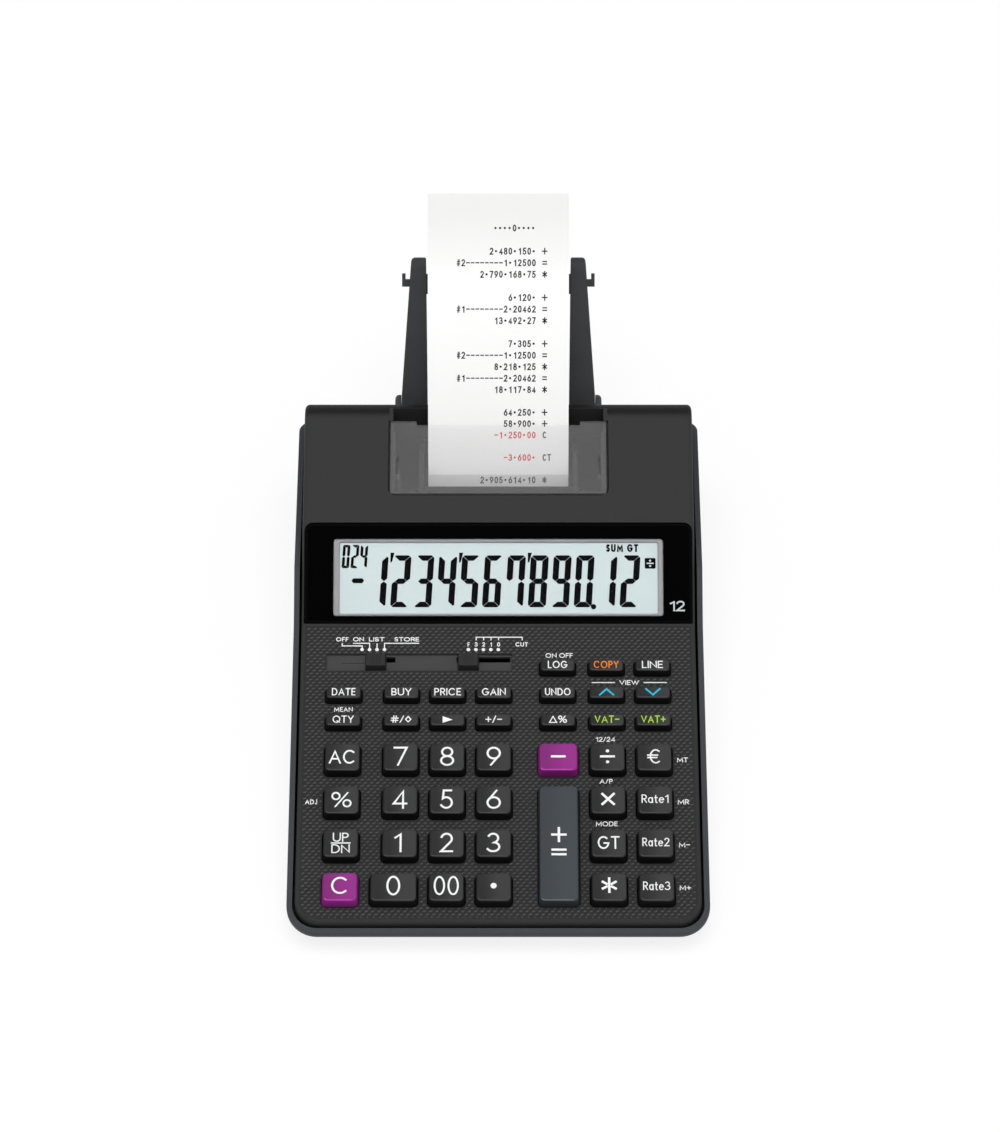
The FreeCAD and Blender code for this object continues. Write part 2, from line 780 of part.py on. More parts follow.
def battery_door():
    half, front, rear, ceiling = compartment()
    door = plate(door_outline(0), [0] * 4, foot_height, foot_height + door_thickness)
    grips = []
    for index in range(door_grip_count):
        start = front + door_grip_step * (index + 2)
        grips.append(block(-door_grip_half, start, 0, door_grip_half, start + door_grip_step / 2,
                           foot_height + door_grip_depth))
    return door.cut(grips)


def batteries():
    half, front, rear, ceiling = compartment()
    step = 2 * cell_radius + running_gap
    level = foot_height + door_thickness + running_gap + cell_radius
    cells = []
    for index in range(cell_count):
        x = step * (index - (cell_count - 1) / 2)
        total = cell_length + cell_nub_length
        start = (front + rear - total) / 2
        direction = 1 if index % 2 == 0 else -1
        base = start if direction == 1 else start + total
        axis = Vector(0, direction, 0)
        body = Part.makeCylinder(cell_radius, cell_length, Vector(x, base, level), axis)
        nub = Part.makeCylinder(cell_nub_radius, total, Vector(x, base, level), axis)
        cells.append(body.fuse(nub).removeSplitter())
    return Part.makeCompound(cells)


def display_lens():
    return on_display(plate(*lens_outline(0), -lens_sink - lens_thickness, -lens_sink))


def lcd_module():
    top = -lens_sink - lens_thickness - running_gap
    bottom = -lens_sink - lens_thickness - display_floor
    rear = lcd_start + lcd_depth
    body = block(-lcd_half_width, lcd_start, bottom - lcd_flange_thickness / 2, lcd_half_width, rear, top)
    back = block(-lcd_half_width - lcd_flange, lcd_start - lcd_flange, bottom - lcd_flange_thickness,
                 lcd_half_width + lcd_flange, rear + lcd_flange, bottom)
    glass = block(-lcd_half_width + lcd_border, lcd_start + lcd_border_depth, top - lcd_pocket,
                  lcd_half_width - lcd_border, rear - lcd_border_depth, 0)
    return on_display(body.fuse(back).cut(glass).removeSplitter())


def circuit_board():
    half = cover_half - board_side_room
    rear = field_length - board_rear_room
    board = block(-half, board_front, -board_bottom, half, rear, -board_top)
    mat = block(-half + mat_inset, board_front + mat_front_inset, -board_top,
                half - mat_inset, rear - mat_inset, -mat_top)
    hole = key_stem / 2 + running_gap
    domes = []
    holes = []
    for name, center, front, width, depth, height, key_round in key_places():
        for x, y in stem_centers(center, front, depth):
            ring = hole + dome_wall
            domes.append(block(x - ring, y - ring, -mat_top - mat_thickness / 2,
                               x + ring, y + ring, dome_height - mat_top))
            holes.append(block(x - hole, y - hole, -mat_top, x + hole, y + hole, 0))
    mat = mat.fuse(domes).cut(holes).removeSplitter()
    return Part.makeCompound([on_field(board), on_field(mat)])


def printer_cover():
    half = window_half
    rear = window_start + window_length
    notch = rear - window_notch_depth
    notch_half = paper_width / 2 + window_notch_side
    points = [(-half, window_start), (half, window_start), (half, rear), (notch_half, rear),
              (notch_half, notch), (-notch_half, notch), (-notch_half, rear), (-half, rear)]
    panel = plate(points, [window_corner, window_corner] + [0] * 6, -window_thickness, 0)
    clip_start = window_start + window_clip_start
    outer = window_half - window_ledge - running_gap
    clips = []
    for side in (-1, 1):
        span = sorted((side * outer, side * (outer - window_clip_width)))
        clips.append(block(span[0], clip_start, -window_thickness - window_clip_depth,
                           span[1], clip_start + window_clip_length, -window_thickness / 2))
    return on_housing(panel.fuse(clips).removeSplitter())


def paper_arm(side):
    inner, outer, outer_ear = arm_limits()
    tip = arm_length + arm_tip
    knuckle = ear_radius - running_gap
    base = arm_base_depth / 2
    side_points = [(-knuckle, -base), (tip, -arm_tip_depth / 2), (tip, arm_tip_depth / 2), (-knuckle, base)]
    taper = math.degrees(math.atan2(base - arm_tip_depth / 2, tip + knuckle))
    tip_round = ear_round * arm_tip_depth / 2
    base_round = ear_round * base * math.tan(math.radians(45 - taper / 2))
    blade = side_plate(side_points, [base_round, tip_round, tip_round, base_round], inner, outer + hook_reach)
    clear = ear_radius + 2 * running_gap
    plan = [(inner, -knuckle), (outer, -knuckle), (outer, clear), (inner + arm_tip_width, tip),
            (inner + arm_inner_taper, tip)]
    arm = blade.common(plate(plan, [0, 0, 0, arm_tip_corner, arm_tip_corner / 2], -2 * base, 2 * base))
    hook_start = arm_length - hook_back
    hook_outer = inner + arm_tip_width + hook_reach
    hook = [(inner + hook_root, hook_start), (hook_outer, hook_start),
            (hook_outer, hook_start + hook_length), (hook_outer - hook_finger, hook_start + hook_length),
            (hook_outer - hook_finger, hook_start + hook_foot),
            (inner + hook_root, hook_start + hook_foot)]
    pin = cross_rod((0, 0), arm_pin_radius, inner, outer_ear[1])
    nub = cross_rod((arm_length, 0), arm_nub_radius, inner - arm_nub_length, inner + hook_root)
    arm = arm.fuse([plate(hook, [0] * 6, -hook_depth / 2, hook_depth / 2), pin, nub]).removeSplitter()
    arm = on_slope(arm, pivot, arm_lean)
    if side < 0:
        arm = arm.mirror(Vector(0, 0, 0), Vector(1, 0, 0))
    return arm


def paper_roll():
    half = paper_width / 2 - roll_side_room
    whole, tube, bore = [cross_rod(roll_axis, radius, -half, half)
                         for radius in (roll_radius, roll_core_radius, roll_bore_radius)]
    return Part.makeCompound([whole.cut(tube), tube.cut(bore)])


def feed_roller():
    feed = feed_axis()
    half = paper_width / 2 + feed_end_room
    shaft_half = frame_box()[0] + frame_plate
    sleeve = cross_rod(feed, feed_radius, -half, half)
    return sleeve.fuse(cross_rod(feed, feed_shaft_radius, -shaft_half, shaft_half)).removeSplitter()


def printer_frame():
    half, front, rear, base, top = frame_box()
    feed = feed_axis()
    plate_points = [(front, base), (rear, base), (rear, base + frame_height * frame_rear_share),
                    (feed[0] + feed_radius, top), (front, top)]
    sides = [side_plate(plate_points, [frame_corner] * 5, *sorted((side * half, side * (half - frame_plate))))
             for side in (-1, 1)]
    floor = block(-half, front, base, half, rear, base + frame_plate)
    wall = block(-half, front, base, half, front + frame_plate, base + frame_height * frame_wall_share)
    ink_center = (front + frame_plate + ink_roller_radius, top - frame_plate - ink_roller_radius)
    ink = cross_rod(ink_center, ink_roller_radius, -half, half)
    motor_center = (front - motor_radius + motor_sink, base + motor_radius + frame_plate)
    motor = cross_rod(motor_center, motor_radius, frame_plate - half, frame_plate - half + motor_length)
    frame = sides[0].fuse([sides[1], floor, wall, ink, motor])
    return frame.cut(cross_rod(feed, feed_shaft_radius + shaft_gap, -2 * half, 2 * half)).removeSplitter()


def save(name, solid):
    # origin on the table under the middle of the whole object
    placed = solid.copy()
    placed.translate(Vector(0, -overall_depth / 2, 0))
    placed.exportStep("parts/" + name + ".step")
    volumes = [round(piece.Volume, 1) for piece in placed.Solids]
    print(name, placed.isValid(), len(volumes), volumes[:4])


os.makedirs("parts", exist_ok=True)
save("bottom_case", bottom_case())
save("top_cover", top_cover())
save("display_lens", display_lens())
save("lcd_module", lcd_module())
save("circuit_board", circuit_board())
save("printer_frame", printer_frame())
save("feed_roller", feed_roller())
save("printer_cover", printer_cover())
save("paper_strip", paper_strip())
save("paper_roll", paper_roll())
save("paper_arm_left", paper_arm(-1))
save("paper_arm_right", paper_arm(1))
save("battery_door", battery_door())
save("batteries", batteries())
save("rubber_feet", rubber_feet())
for switch_name, switch_center in zip(("power_switch", "decimal_switch"), switch_centers()):
    save(switch_name, switch_solid(switch_center))
for key_name, *key_sizes in key_places():
    save(key_name, key_solid(*key_sizes))
print("pivot", pivot[0] - overall_depth / 2, pivot[1])
print("roll axis", roll_axis[0] - overall_depth / 2, roll_axis[1])
print("feed axis", feed_axis()[0] - overall_depth / 2, feed_axis()[1])
print("exit", tear_top[0] - overall_depth / 2, exit_rear - overall_depth / 2, tear_top[1])
print("overall depth", overall_depth, "case half", case_half, "case rear", case_rear, "inlet", inlet_level())
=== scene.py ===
import json
import math

import bmesh
import bpy
from mathutils import Euler, Matrix, Vector
from mathutils.bvhtree import BVHTree


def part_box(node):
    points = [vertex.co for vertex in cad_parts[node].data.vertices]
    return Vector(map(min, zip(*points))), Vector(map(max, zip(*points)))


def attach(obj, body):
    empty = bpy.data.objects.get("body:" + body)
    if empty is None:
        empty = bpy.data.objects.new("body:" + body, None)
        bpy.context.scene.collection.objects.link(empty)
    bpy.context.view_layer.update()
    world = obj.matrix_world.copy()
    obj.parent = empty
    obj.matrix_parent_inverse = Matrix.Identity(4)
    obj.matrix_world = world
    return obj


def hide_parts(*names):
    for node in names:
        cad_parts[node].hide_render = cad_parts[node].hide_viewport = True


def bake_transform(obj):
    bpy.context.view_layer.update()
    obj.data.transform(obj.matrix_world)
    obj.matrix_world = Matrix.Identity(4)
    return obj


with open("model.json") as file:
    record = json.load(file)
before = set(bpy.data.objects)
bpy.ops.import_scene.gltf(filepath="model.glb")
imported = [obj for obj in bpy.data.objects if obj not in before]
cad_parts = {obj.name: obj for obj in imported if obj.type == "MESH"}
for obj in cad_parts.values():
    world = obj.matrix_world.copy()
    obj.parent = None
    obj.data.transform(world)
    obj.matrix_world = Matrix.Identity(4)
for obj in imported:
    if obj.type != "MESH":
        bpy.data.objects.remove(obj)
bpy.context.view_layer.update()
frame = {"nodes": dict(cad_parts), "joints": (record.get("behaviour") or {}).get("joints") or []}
nodes = frame["nodes"]
joints = {joint["name"]: joint for joint in frame["joints"]}
scene = bpy.context.scene
mm = 0.001
print("frame loaded with", len(nodes), "nodes")


# Slopes of the machine: millimetres across, up the slope and off it become metres

def slopeFrame(normal, point):
    across = Vector((1, 0, 0))
    turned = Matrix((across, normal.cross(across), normal)).transposed().to_4x4()
    return Matrix.Translation(point) @ turned @ Matrix.Scale(mm, 4)


def levelOf(name, normal, rear=1.0):  # how far a node reaches along a normal, in front of a place
    return max(vertex.co.dot(normal) for vertex in nodes[name].data.vertices if vertex.co.y < rear)


def crease(first, firstLevel, second, secondLevel):  # where two slopes meet
    share = first.y * second.z - first.z * second.y
    y = (firstLevel * second.z - secondLevel * first.z) / share
    return Vector((0, y, (firstLevel - first.y * y) / first.z))


def localBox(name, place, above=-1e9):  # a node's reach on a slope, in millimetres
    back = place.inverted()
    points = [back @ vertex.co for vertex in nodes[name].data.vertices]
    points = [point for point in points if point.z > above]
    return [Vector(pick(point[axis] for point in points) for axis in range(3)) for pick in (min, max)]


lensSink = 0.3
fieldNormal = -Vector(joints["key_clear_press"]["axis"]).normalized()
housingNormal = Vector(joints["printer_cover_lift"]["axis"]).normalized()
lensFace = max(nodes["display_lens"].data.polygons, key=lambda face: face.area * (face.normal.z > 0.5))
displayNormal = lensFace.normal.normalized()
fieldLevel = levelOf("top_cover", fieldNormal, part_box("power_switch")[0].y)
housingLevel = levelOf("top_cover", housingNormal)
displayLevel = levelOf("display_lens", displayNormal) + lensSink * mm
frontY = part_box("top_cover")[0].y
frontEdge = Vector((0, frontY, (fieldLevel - fieldNormal.y * frontY) / fieldNormal.z))
field = slopeFrame(fieldNormal, frontEdge)
display = slopeFrame(displayNormal, crease(fieldNormal, fieldLevel, displayNormal, displayLevel))
housing = slopeFrame(housingNormal, crease(displayNormal, displayLevel, housingNormal, housingLevel))
fieldLength = (field.inverted() @ display.translation).y


# Shader maths on numbers, and one class for a finish

def mathsOf(operation, reflected=False):
    def method(self, other=0.0):
        return self.maths(operation, *((other, self) if reflected else (self, other)))
    return method


class Value:
    def __init__(self, tree, socket):
        self.tree = tree
        self.socket = socket

    def maths(self, operation, first, second):
        node = self.tree.nodes.new("ShaderNodeMath")
        node.operation = operation
        plug(self.tree, first, node.inputs[0])
        plug(self.tree, second, node.inputs[1])
        return Value(self.tree, node.outputs[0])

    __add__, __radd__ = mathsOf("ADD"), mathsOf("ADD", True)
    __sub__, __rsub__ = mathsOf("SUBTRACT"), mathsOf("SUBTRACT", True)
    __mul__, __rmul__ = mathsOf("MULTIPLY"), mathsOf("MULTIPLY", True)
    __lt__, __gt__ = mathsOf("LESS_THAN"), mathsOf("GREATER_THAN")
    __abs__, cosine = mathsOf("ABSOLUTE"), mathsOf("COSINE")
    root, atLeast = mathsOf("SQRT"), mathsOf("MAXIMUM")


def plug(tree, item, socket):
    if isinstance(item, Value):
        tree.links.new(item.socket, socket)
    else:
        socket.default_value = item


class Finish:
    def __init__(self, name, look):
        self.material = bpy.data.materials.new(name)
        self.material.use_nodes = True
        self.tree = self.material.node_tree
        self.shader = self.tree.nodes["Principled BSDF"]
        self.color = (*look["color"], 1.0)
        self.roughness = look["roughness"]
        self.feed("Base Color", self.color)
        self.feed("Roughness", self.roughness)
        self.feed("Specular IOR Level", look["specular"])
        self.spot = self.node("TexCoord", output="Object")

    def node(self, kind, settings=None, inputs=None, output=0):
        made = self.tree.nodes.new("ShaderNode" + kind)
        for name, value in (settings or {}).items():
            setattr(made, name, value)
        for name, value in (inputs or {}).items():
            plug(self.tree, value, made.inputs[name])
        return Value(self.tree, made.outputs[output])

    def feed(self, socket, value):
        plug(self.tree, value, self.shader.inputs[socket])

    def toward(self, direction):  # millimetres along a direction
        inputs = {0: self.spot, 1: Vector(direction) / mm}
        return self.node("VectorMath", {"operation": "DOT_PRODUCT"}, inputs, "Value")

    def upSlope(self, place):  # millimetres up a slope from its lower edge
        uphill = place.to_3x3().col[1] / mm
        return self.toward(uphill) - (place.translation / mm).dot(uphill)

    def noise(self, size, detail=2.0):  # size of one patch in millimetres
        inputs = {"Vector": self.spot, "Scale": 1 / (size * mm), "Detail": detail}
        return self.node("TexNoise", None, inputs, "Fac")

    def streaks(self, scale):  # noise drawn out by uneven scales
        stretched = self.node("Mapping", None, {"Vector": self.spot, "Scale": scale})
        return self.node("TexNoise", None, {"Vector": stretched, "Scale": 1.0}, "Fac")

    def ease(self, value, low, high):  # rises smoothly from 0 at low to 1 at high
        inputs = {"Value": value, "From Min": low, "From Max": high}
        return self.node("MapRange", {"interpolation_type": "SMOOTHSTEP"}, inputs)

    def mix(self, share, first, second):
        return self.node("Mix", {"data_type": "RGBA"}, {0: share, 6: first, 7: (*second, 1.0)}, 2)

    def tint(self, share, color):  # mixes the finish's colour towards another
        return self.mix(share, self.color, color)

    def uneven(self, value, spread):
        self.feed("Roughness", self.roughness - spread / 2 + value * spread)

    def relief(self, height, depth):  # bump, depth in millimetres
        inputs = {"Height": height, "Distance": depth * mm, "Strength": 1.0}
        self.feed("Normal", self.node("Bump", None, inputs))

    def grain(self, look):  # one fine noise for gloss and relief
        fine = self.noise(look["grain"], fineDetail)
        self.uneven(fine, look["uneven"])
        self.relief(fine, look["relief"])
        return fine


def shade(color, factor):
    return tuple(min(1.0, part * factor) for part in color)


# Plain grained finishes: size of the grain and depth of its relief in millimetres, and share of pale mottle

plainGrain = {"specular": 0.4, "grain": 0.35, "relief": 0.02, "mottle": 0.18, "patch": 9.0, "pale": 1.35,
              "uneven": 0.12}
grained = {
    "casePlastic": {"color": (0.046, 0.049, 0.054), "roughness": 0.5, "specular": 0.07},
    # the ridges are lighter than the panel: a painted highlight where light catches them
    "ridgeHighlightPlastic": {"color": (0.078, 0.078, 0.0795), "roughness": 0.5, "specular": 0.06},
    "lensPlastic": {"color": (0.0004, 0.0004, 0.0005), "roughness": 0.2, "specular": 0.003, "grain": 2.0,
                    "relief": 0.0005, "mottle": 0.1},
    "rimPlastic": {"color": (0.0012, 0.0012, 0.0013), "roughness": 0.4, "specular": 0.015},
    "armPlastic": {"color": (0.043, 0.044, 0.046), "roughness": 0.5, "specular": 0.07},
    "knobPlastic": {"color": (0.022, 0.022, 0.023), "roughness": 0.45, "specular": 0.08},
    "footRubber": {"color": (0.020, 0.020, 0.021), "roughness": 0.75, "specular": 0.1, "grain": 0.5,
                   "relief": 0.03, "mottle": 0.2},
    "rollerRubber": {"color": (0.012, 0.012, 0.012), "roughness": 0.7, "specular": 0.1, "grain": 0.4,
                     "relief": 0.03, "mottle": 0.2},
    "cellSleeve": {"color": (0.11, 0.12, 0.14), "roughness": 0.35, "grain": 1.5, "relief": 0.004},
    "mechanismBlack": {"color": (0.022, 0.022, 0.023), "roughness": 0.6, "specular": 0.08, "grain": 0.6,
                       "relief": 0.01, "mottle": 0.2},
    "moduleSilver": {"color": (0.315, 0.315, 0.32), "roughness": 0.4, "specular": 0.2, "grain": 0.5,
                     "relief": 0.006, "mottle": 0.08},
    "paneGlass": {"color": (0.60, 0.692, 0.698), "roughness": 0.4, "specular": 0.1, "grain": 3.0,
                  "relief": 0.001, "mottle": 0.03},
}
fineDetail = 3.0


def grainedPlastic(name):
    look = {**plainGrain, **grained[name]}
    finish = Finish(name, look)
    spots = finish.noise(look["patch"]) * look["mottle"] * 2
    finish.feed("Base Color", finish.tint(spots, shade(look["color"], look["pale"])))
    finish.grain(look)
    return finish.material


# gaps and dark are the tones of the painted shade between the ridges and down the rear curve
coverLook = {"color": (0.031, 0.031, 0.0317), "roughness": 0.5, "specular": 0.06, "grain": 0.4,
             "relief": 0.024, "uneven": 0.1, "rear": (65.5, 69.0), "wall": (74.5, 77.8), "fall": 0.95,
             "wallShare": 0.3, "dark": 0.25, "exit": (44.6, 71.0), "flat": 0.05, "gaps": 0.76, "sunk": 0.2,
             "grooveLow": (-70.0, 111.0), "grooveHigh": (6.0, 119.8), "grooveTone": 1.73}


def coverPlastic():  # lighter in the switch groove, with painted shade between the ridges and down the rear curve
    look = coverLook
    finish = Finish("coverPlastic", look)
    across, back = finish.toward((1, 0, 0)), finish.toward((0, 1, 0))
    along, height = finish.upSlope(field), finish.toward(fieldNormal) - fieldLevel / mm
    low, high = look["grooveLow"], look["grooveHigh"]
    inGroove = (along > low[1]) * (along < high[1]) * (across > low[0]) * (across < high[0])
    groove = inGroove * (height < -look["sunk"])
    # painted shade: the flat panel between the ridges is darkened
    onField = (abs(height) < look["flat"]) * (along > 0) * (along < fieldLength)
    rear, wall = (finish.ease(back, *look[name]) for name in ("rear", "wall"))
    inExit = (abs(across) < look["exit"][0]) * (back < look["exit"][1])
    # painted shade: the rear curve darkens towards the back, less on the rear wall and not round the paper
    # exit
    rearShade = rear * (1 - wall * (1 - look["wallShare"])) * (1 - inExit) * look["fall"]
    color = finish.color
    for share, tone in ((groove, look["grooveTone"]), (onField, look["gaps"]), (rearShade, look["dark"])):
        color = finish.mix(share, color, shade(look["color"], tone))
    finish.feed("Base Color", color)
    finish.grain(look)
    return finish.material


smokeLook = {"color": (0.66, 0.66, 0.67), "roughness": 0.35, "specular": 0.1, "alpha": 0.075, "edge": 0.6,
             "edgeAlpha": 0.7, "edgeShadeColor": (0.012, 0.012, 0.012), "streaks": (330.0, 30.0, 30.0),
             "streakLevel": 0.58, "streakSide": -30.0, "streakAlpha": 0.35}


def smokyPlastic():  # hazy plate with painted shade along its sides and lower edge, where it meets the housing, and a few faint streaks on the left
    look = smokeLook
    finish = Finish("smokyPlastic", look)
    low, high = localBox("printer_cover", housing)
    across = finish.toward((1, 0, 0))
    side = abs(across) > high.x - look["edge"]
    edge = side.atLeast(finish.upSlope(housing) < low.y + look["edge"])
    streaks = (finish.streaks(look["streaks"]) - look["streakLevel"]).atLeast(0.0)
    marked = streaks * (across < look["streakSide"]) * look["streakAlpha"]
    # painted shade: the sides and lower edge are darker and less see-through
    finish.feed("Base Color", finish.tint(edge, look["edgeShadeColor"]))
    finish.feed("Alpha", look["alpha"] + marked + edge * look["edgeAlpha"])
    return finish.material


# a faint grey see-through strip that lays painted shade on the paper beneath it
shadeStripLook = {"color": (0.30, 0.30, 0.305), "roughness": 0.4, "specular": 0.1, "alpha": 0.06, "patch": 6.0,
             "cloud": 0.03}


def shadeStrip():
    look = shadeStripLook
    finish = Finish("shadeStrip", look)
    finish.feed("Alpha", look["alpha"] + (finish.noise(look["patch"]) - 0.5) * look["cloud"])
    return finish.material


windowLook = {"color": (0.02, 0.02, 0.02), "roughness": 0.1, "specular": 0.1, "alpha": 0.012, "patch": 6.0,
              "uneven": 0.04}


def clearWindow():
    look = windowLook
    finish = Finish("clearWindow", look)
    finish.feed("Alpha", look["alpha"])
    finish.uneven(finish.noise(look["patch"]), look["uneven"])
    return finish.material


paperLook = {"color": (0.93, 0.93, 0.925), "roughness": 0.85, "specular": 0.15, "fibre": 0.5,
             "fibreDetail": 4.0, "fibreShare": 0.1, "relief": 0.01, "curlShade": (98.0, 127.0), "fibresAndShade": 0.84,
             "layers": 14.0, "patch": 4.0, "wander": 3.0, "layerShare": 0.16, "layerTone": 0.72,
             "layerRelief": 0.02, "core": 6.05, "coreColor": (0.42, 0.36, 0.27)}


def paperStock():  # greys towards the free end, where the strip curls back: painted shade, with darker fibres all over
    look = paperLook
    finish = Finish("paperStock", look)
    fibres = finish.noise(look["fibre"], look["fibreDetail"])
    # painted shade: the strip greys as it rises to its curled end
    curlShade = finish.ease(finish.toward((0, 0, 1)), *look["curlShade"])
    fibresAndShade = curlShade + fibres * look["fibreShare"]
    finish.feed("Base Color", finish.tint(fibresAndShade, shade(look["color"], look["fibresAndShade"])))
    finish.relief(fibres, look["relief"])
    return finish.material


def rollEdge():  # wound layers show as rings on the ends of the roll
    look = paperLook
    finish = Finish("rolledPaper", look)
    axle = Vector(joints["paper_roll_spin"]["pos_m"]) / mm
    reach, rise = finish.toward((0, 1, 0)) - axle.y, finish.toward((0, 0, 1)) - axle.z
    radius = (reach * reach + rise * rise).root()
    layers = (radius * look["layers"] + finish.noise(look["patch"]) * look["wander"]).cosine()
    ring = finish.tint((layers * 0.5 + 0.5) * look["layerShare"], shade(look["color"], look["layerTone"]))
    finish.feed("Base Color", finish.mix(radius < look["core"], ring, look["coreColor"]))
    finish.relief(layers, look["layerRelief"])
    return finish.material


inkLook = {"roughness": 0.56, "specular": 0.15, "patch": 0.6, "uneven": 0.12}
inkColors = {"white": (0.82, 0.82, 0.82), "orange": (0.72, 0.19, 0.025), "cyan": (0.025, 0.45, 0.62),
             "lime": (0.38, 0.60, 0.05), "black": (0.012, 0.012, 0.014), "red": (0.66, 0.05, 0.06),
             "pale": (0.55, 0.56, 0.57)}


def plainInk(name, **changes):
    look = {**inkLook, **changes}
    finish = Finish(name, look)
    finish.uneven(finish.noise(look["patch"]), look["uneven"])
    return finish.material


steelLook = {"color": (0.36, 0.36, 0.37), "roughness": 0.35, "specular": 0.5, "lines": (40.0, 3000.0, 3000.0),
             "uneven": 0.16}


def brushedSteel():
    finish = Finish("screwSteel", steelLook)
    finish.feed("Metallic", 1.0)
    finish.uneven(finish.streaks(steelLook["lines"]), steelLook["uneven"])
    return finish.material


capLook = {"roughness": 0.42, "specular": 0.08, "sideGloss": 0.04, "edgeHighlightTone": 2.4, "edgeGloss": 0.15,
           "grain": 0.3, "lit": (-0.75, 0.55), "ragged": 0.1, "speckle": 0.2, "speckleTone": 1.4,
           "relief": 0.008, "uneven": 0.12}
# light: how much lighter the top gets to the right, painted light; side: tone of the sides, painted shade
# (painted light on the purple caps)
capTones = {
    "charcoal": {"color": (0.0177, 0.0177, 0.0182), "light": 2.1, "side": 0.43},
    "purple": {"color": (0.198, 0.020, 0.166), "light": 1.35, "side": 1.16},
    "slate": {"color": (0.041, 0.048, 0.054), "light": 1.2, "side": 0.7},
}


def capPlastic(name):  # top, side and front edge of a cap, lit and shaded copies of one plastic: painted shade and light on the sides, a painted highlight on the front edge, and painted light making the top lighter to the right
    look = {**capLook, **capTones[name]}
    made = []
    for part, tone, gloss in (("Top", 1.0, look["specular"]), ("Side", look["side"], look["sideGloss"]),
                              ("EdgeHighlight", look["edgeHighlightTone"], look["edgeGloss"])):
        color = shade(look["color"], tone)
        finish = Finish(name + part, {**look, "color": color, "specular": gloss})
        fine = finish.grain(look)
        if part == "Top":
            # painted light: the top lightens towards its right side
            across = finish.node("Attribute", {"attribute_name": "capSide"}, None, "Fac")
            lit = finish.ease(across + fine * look["ragged"], *look["lit"])
            finish.feed("Base Color", finish.tint(lit, shade(color, look["light"])))
        else:
            finish.feed("Base Color", finish.tint(fine * look["speckle"], shade(color, look["speckleTone"])))
        made.append(finish.material)
    return made


boardLook = {"color": (0.020, 0.090, 0.045), "roughness": 0.5, "specular": 0.2, "laminate": 1.65,
             "grain": 0.8, "relief": 0.01, "mat": (0.008, 0.008, 0.009)}


def matAndBoard():  # rubber contact mat on the laminate
    look = boardLook
    finish = Finish("matAndBoard", look)
    matLevel = localBox("circuit_board", field)[0].z + look["laminate"]
    onMat = finish.toward(fieldNormal) - fieldLevel / mm > matLevel
    finish.feed("Base Color", finish.tint(onMat, look["mat"]))
    finish.relief(finish.noise(look["grain"], fineDetail), look["relief"])
    return finish.material


plastics = {name: grainedPlastic(name) for name in grained}
coverFinish, smokeFinish = coverPlastic(), smokyPlastic()
shadeStripFinish, windowFinish = shadeStrip(), clearWindow()
paperFinish, rollFinish = paperStock(), rollEdge()
keyFinishes = {tone: capPlastic(tone) for tone in capTones}
boardFinish, screwFinish = matAndBoard(), brushedSteel()
segmentFinish = plainInk("segmentBlack", color=(0.002, 0.002, 0.003), specular=0.02)
inks = {name: plainInk("ink" + name.capitalize(), color=color) for name, color in inkColors.items()}
print("finishes ready")


# Mesh code: rounded rings, strokes and words, placed by a function

strokeStyle = {"mitre": 0.35, "gap": (0.1, 0.15), "lift": 0.003}  # gap as shares of height and weight


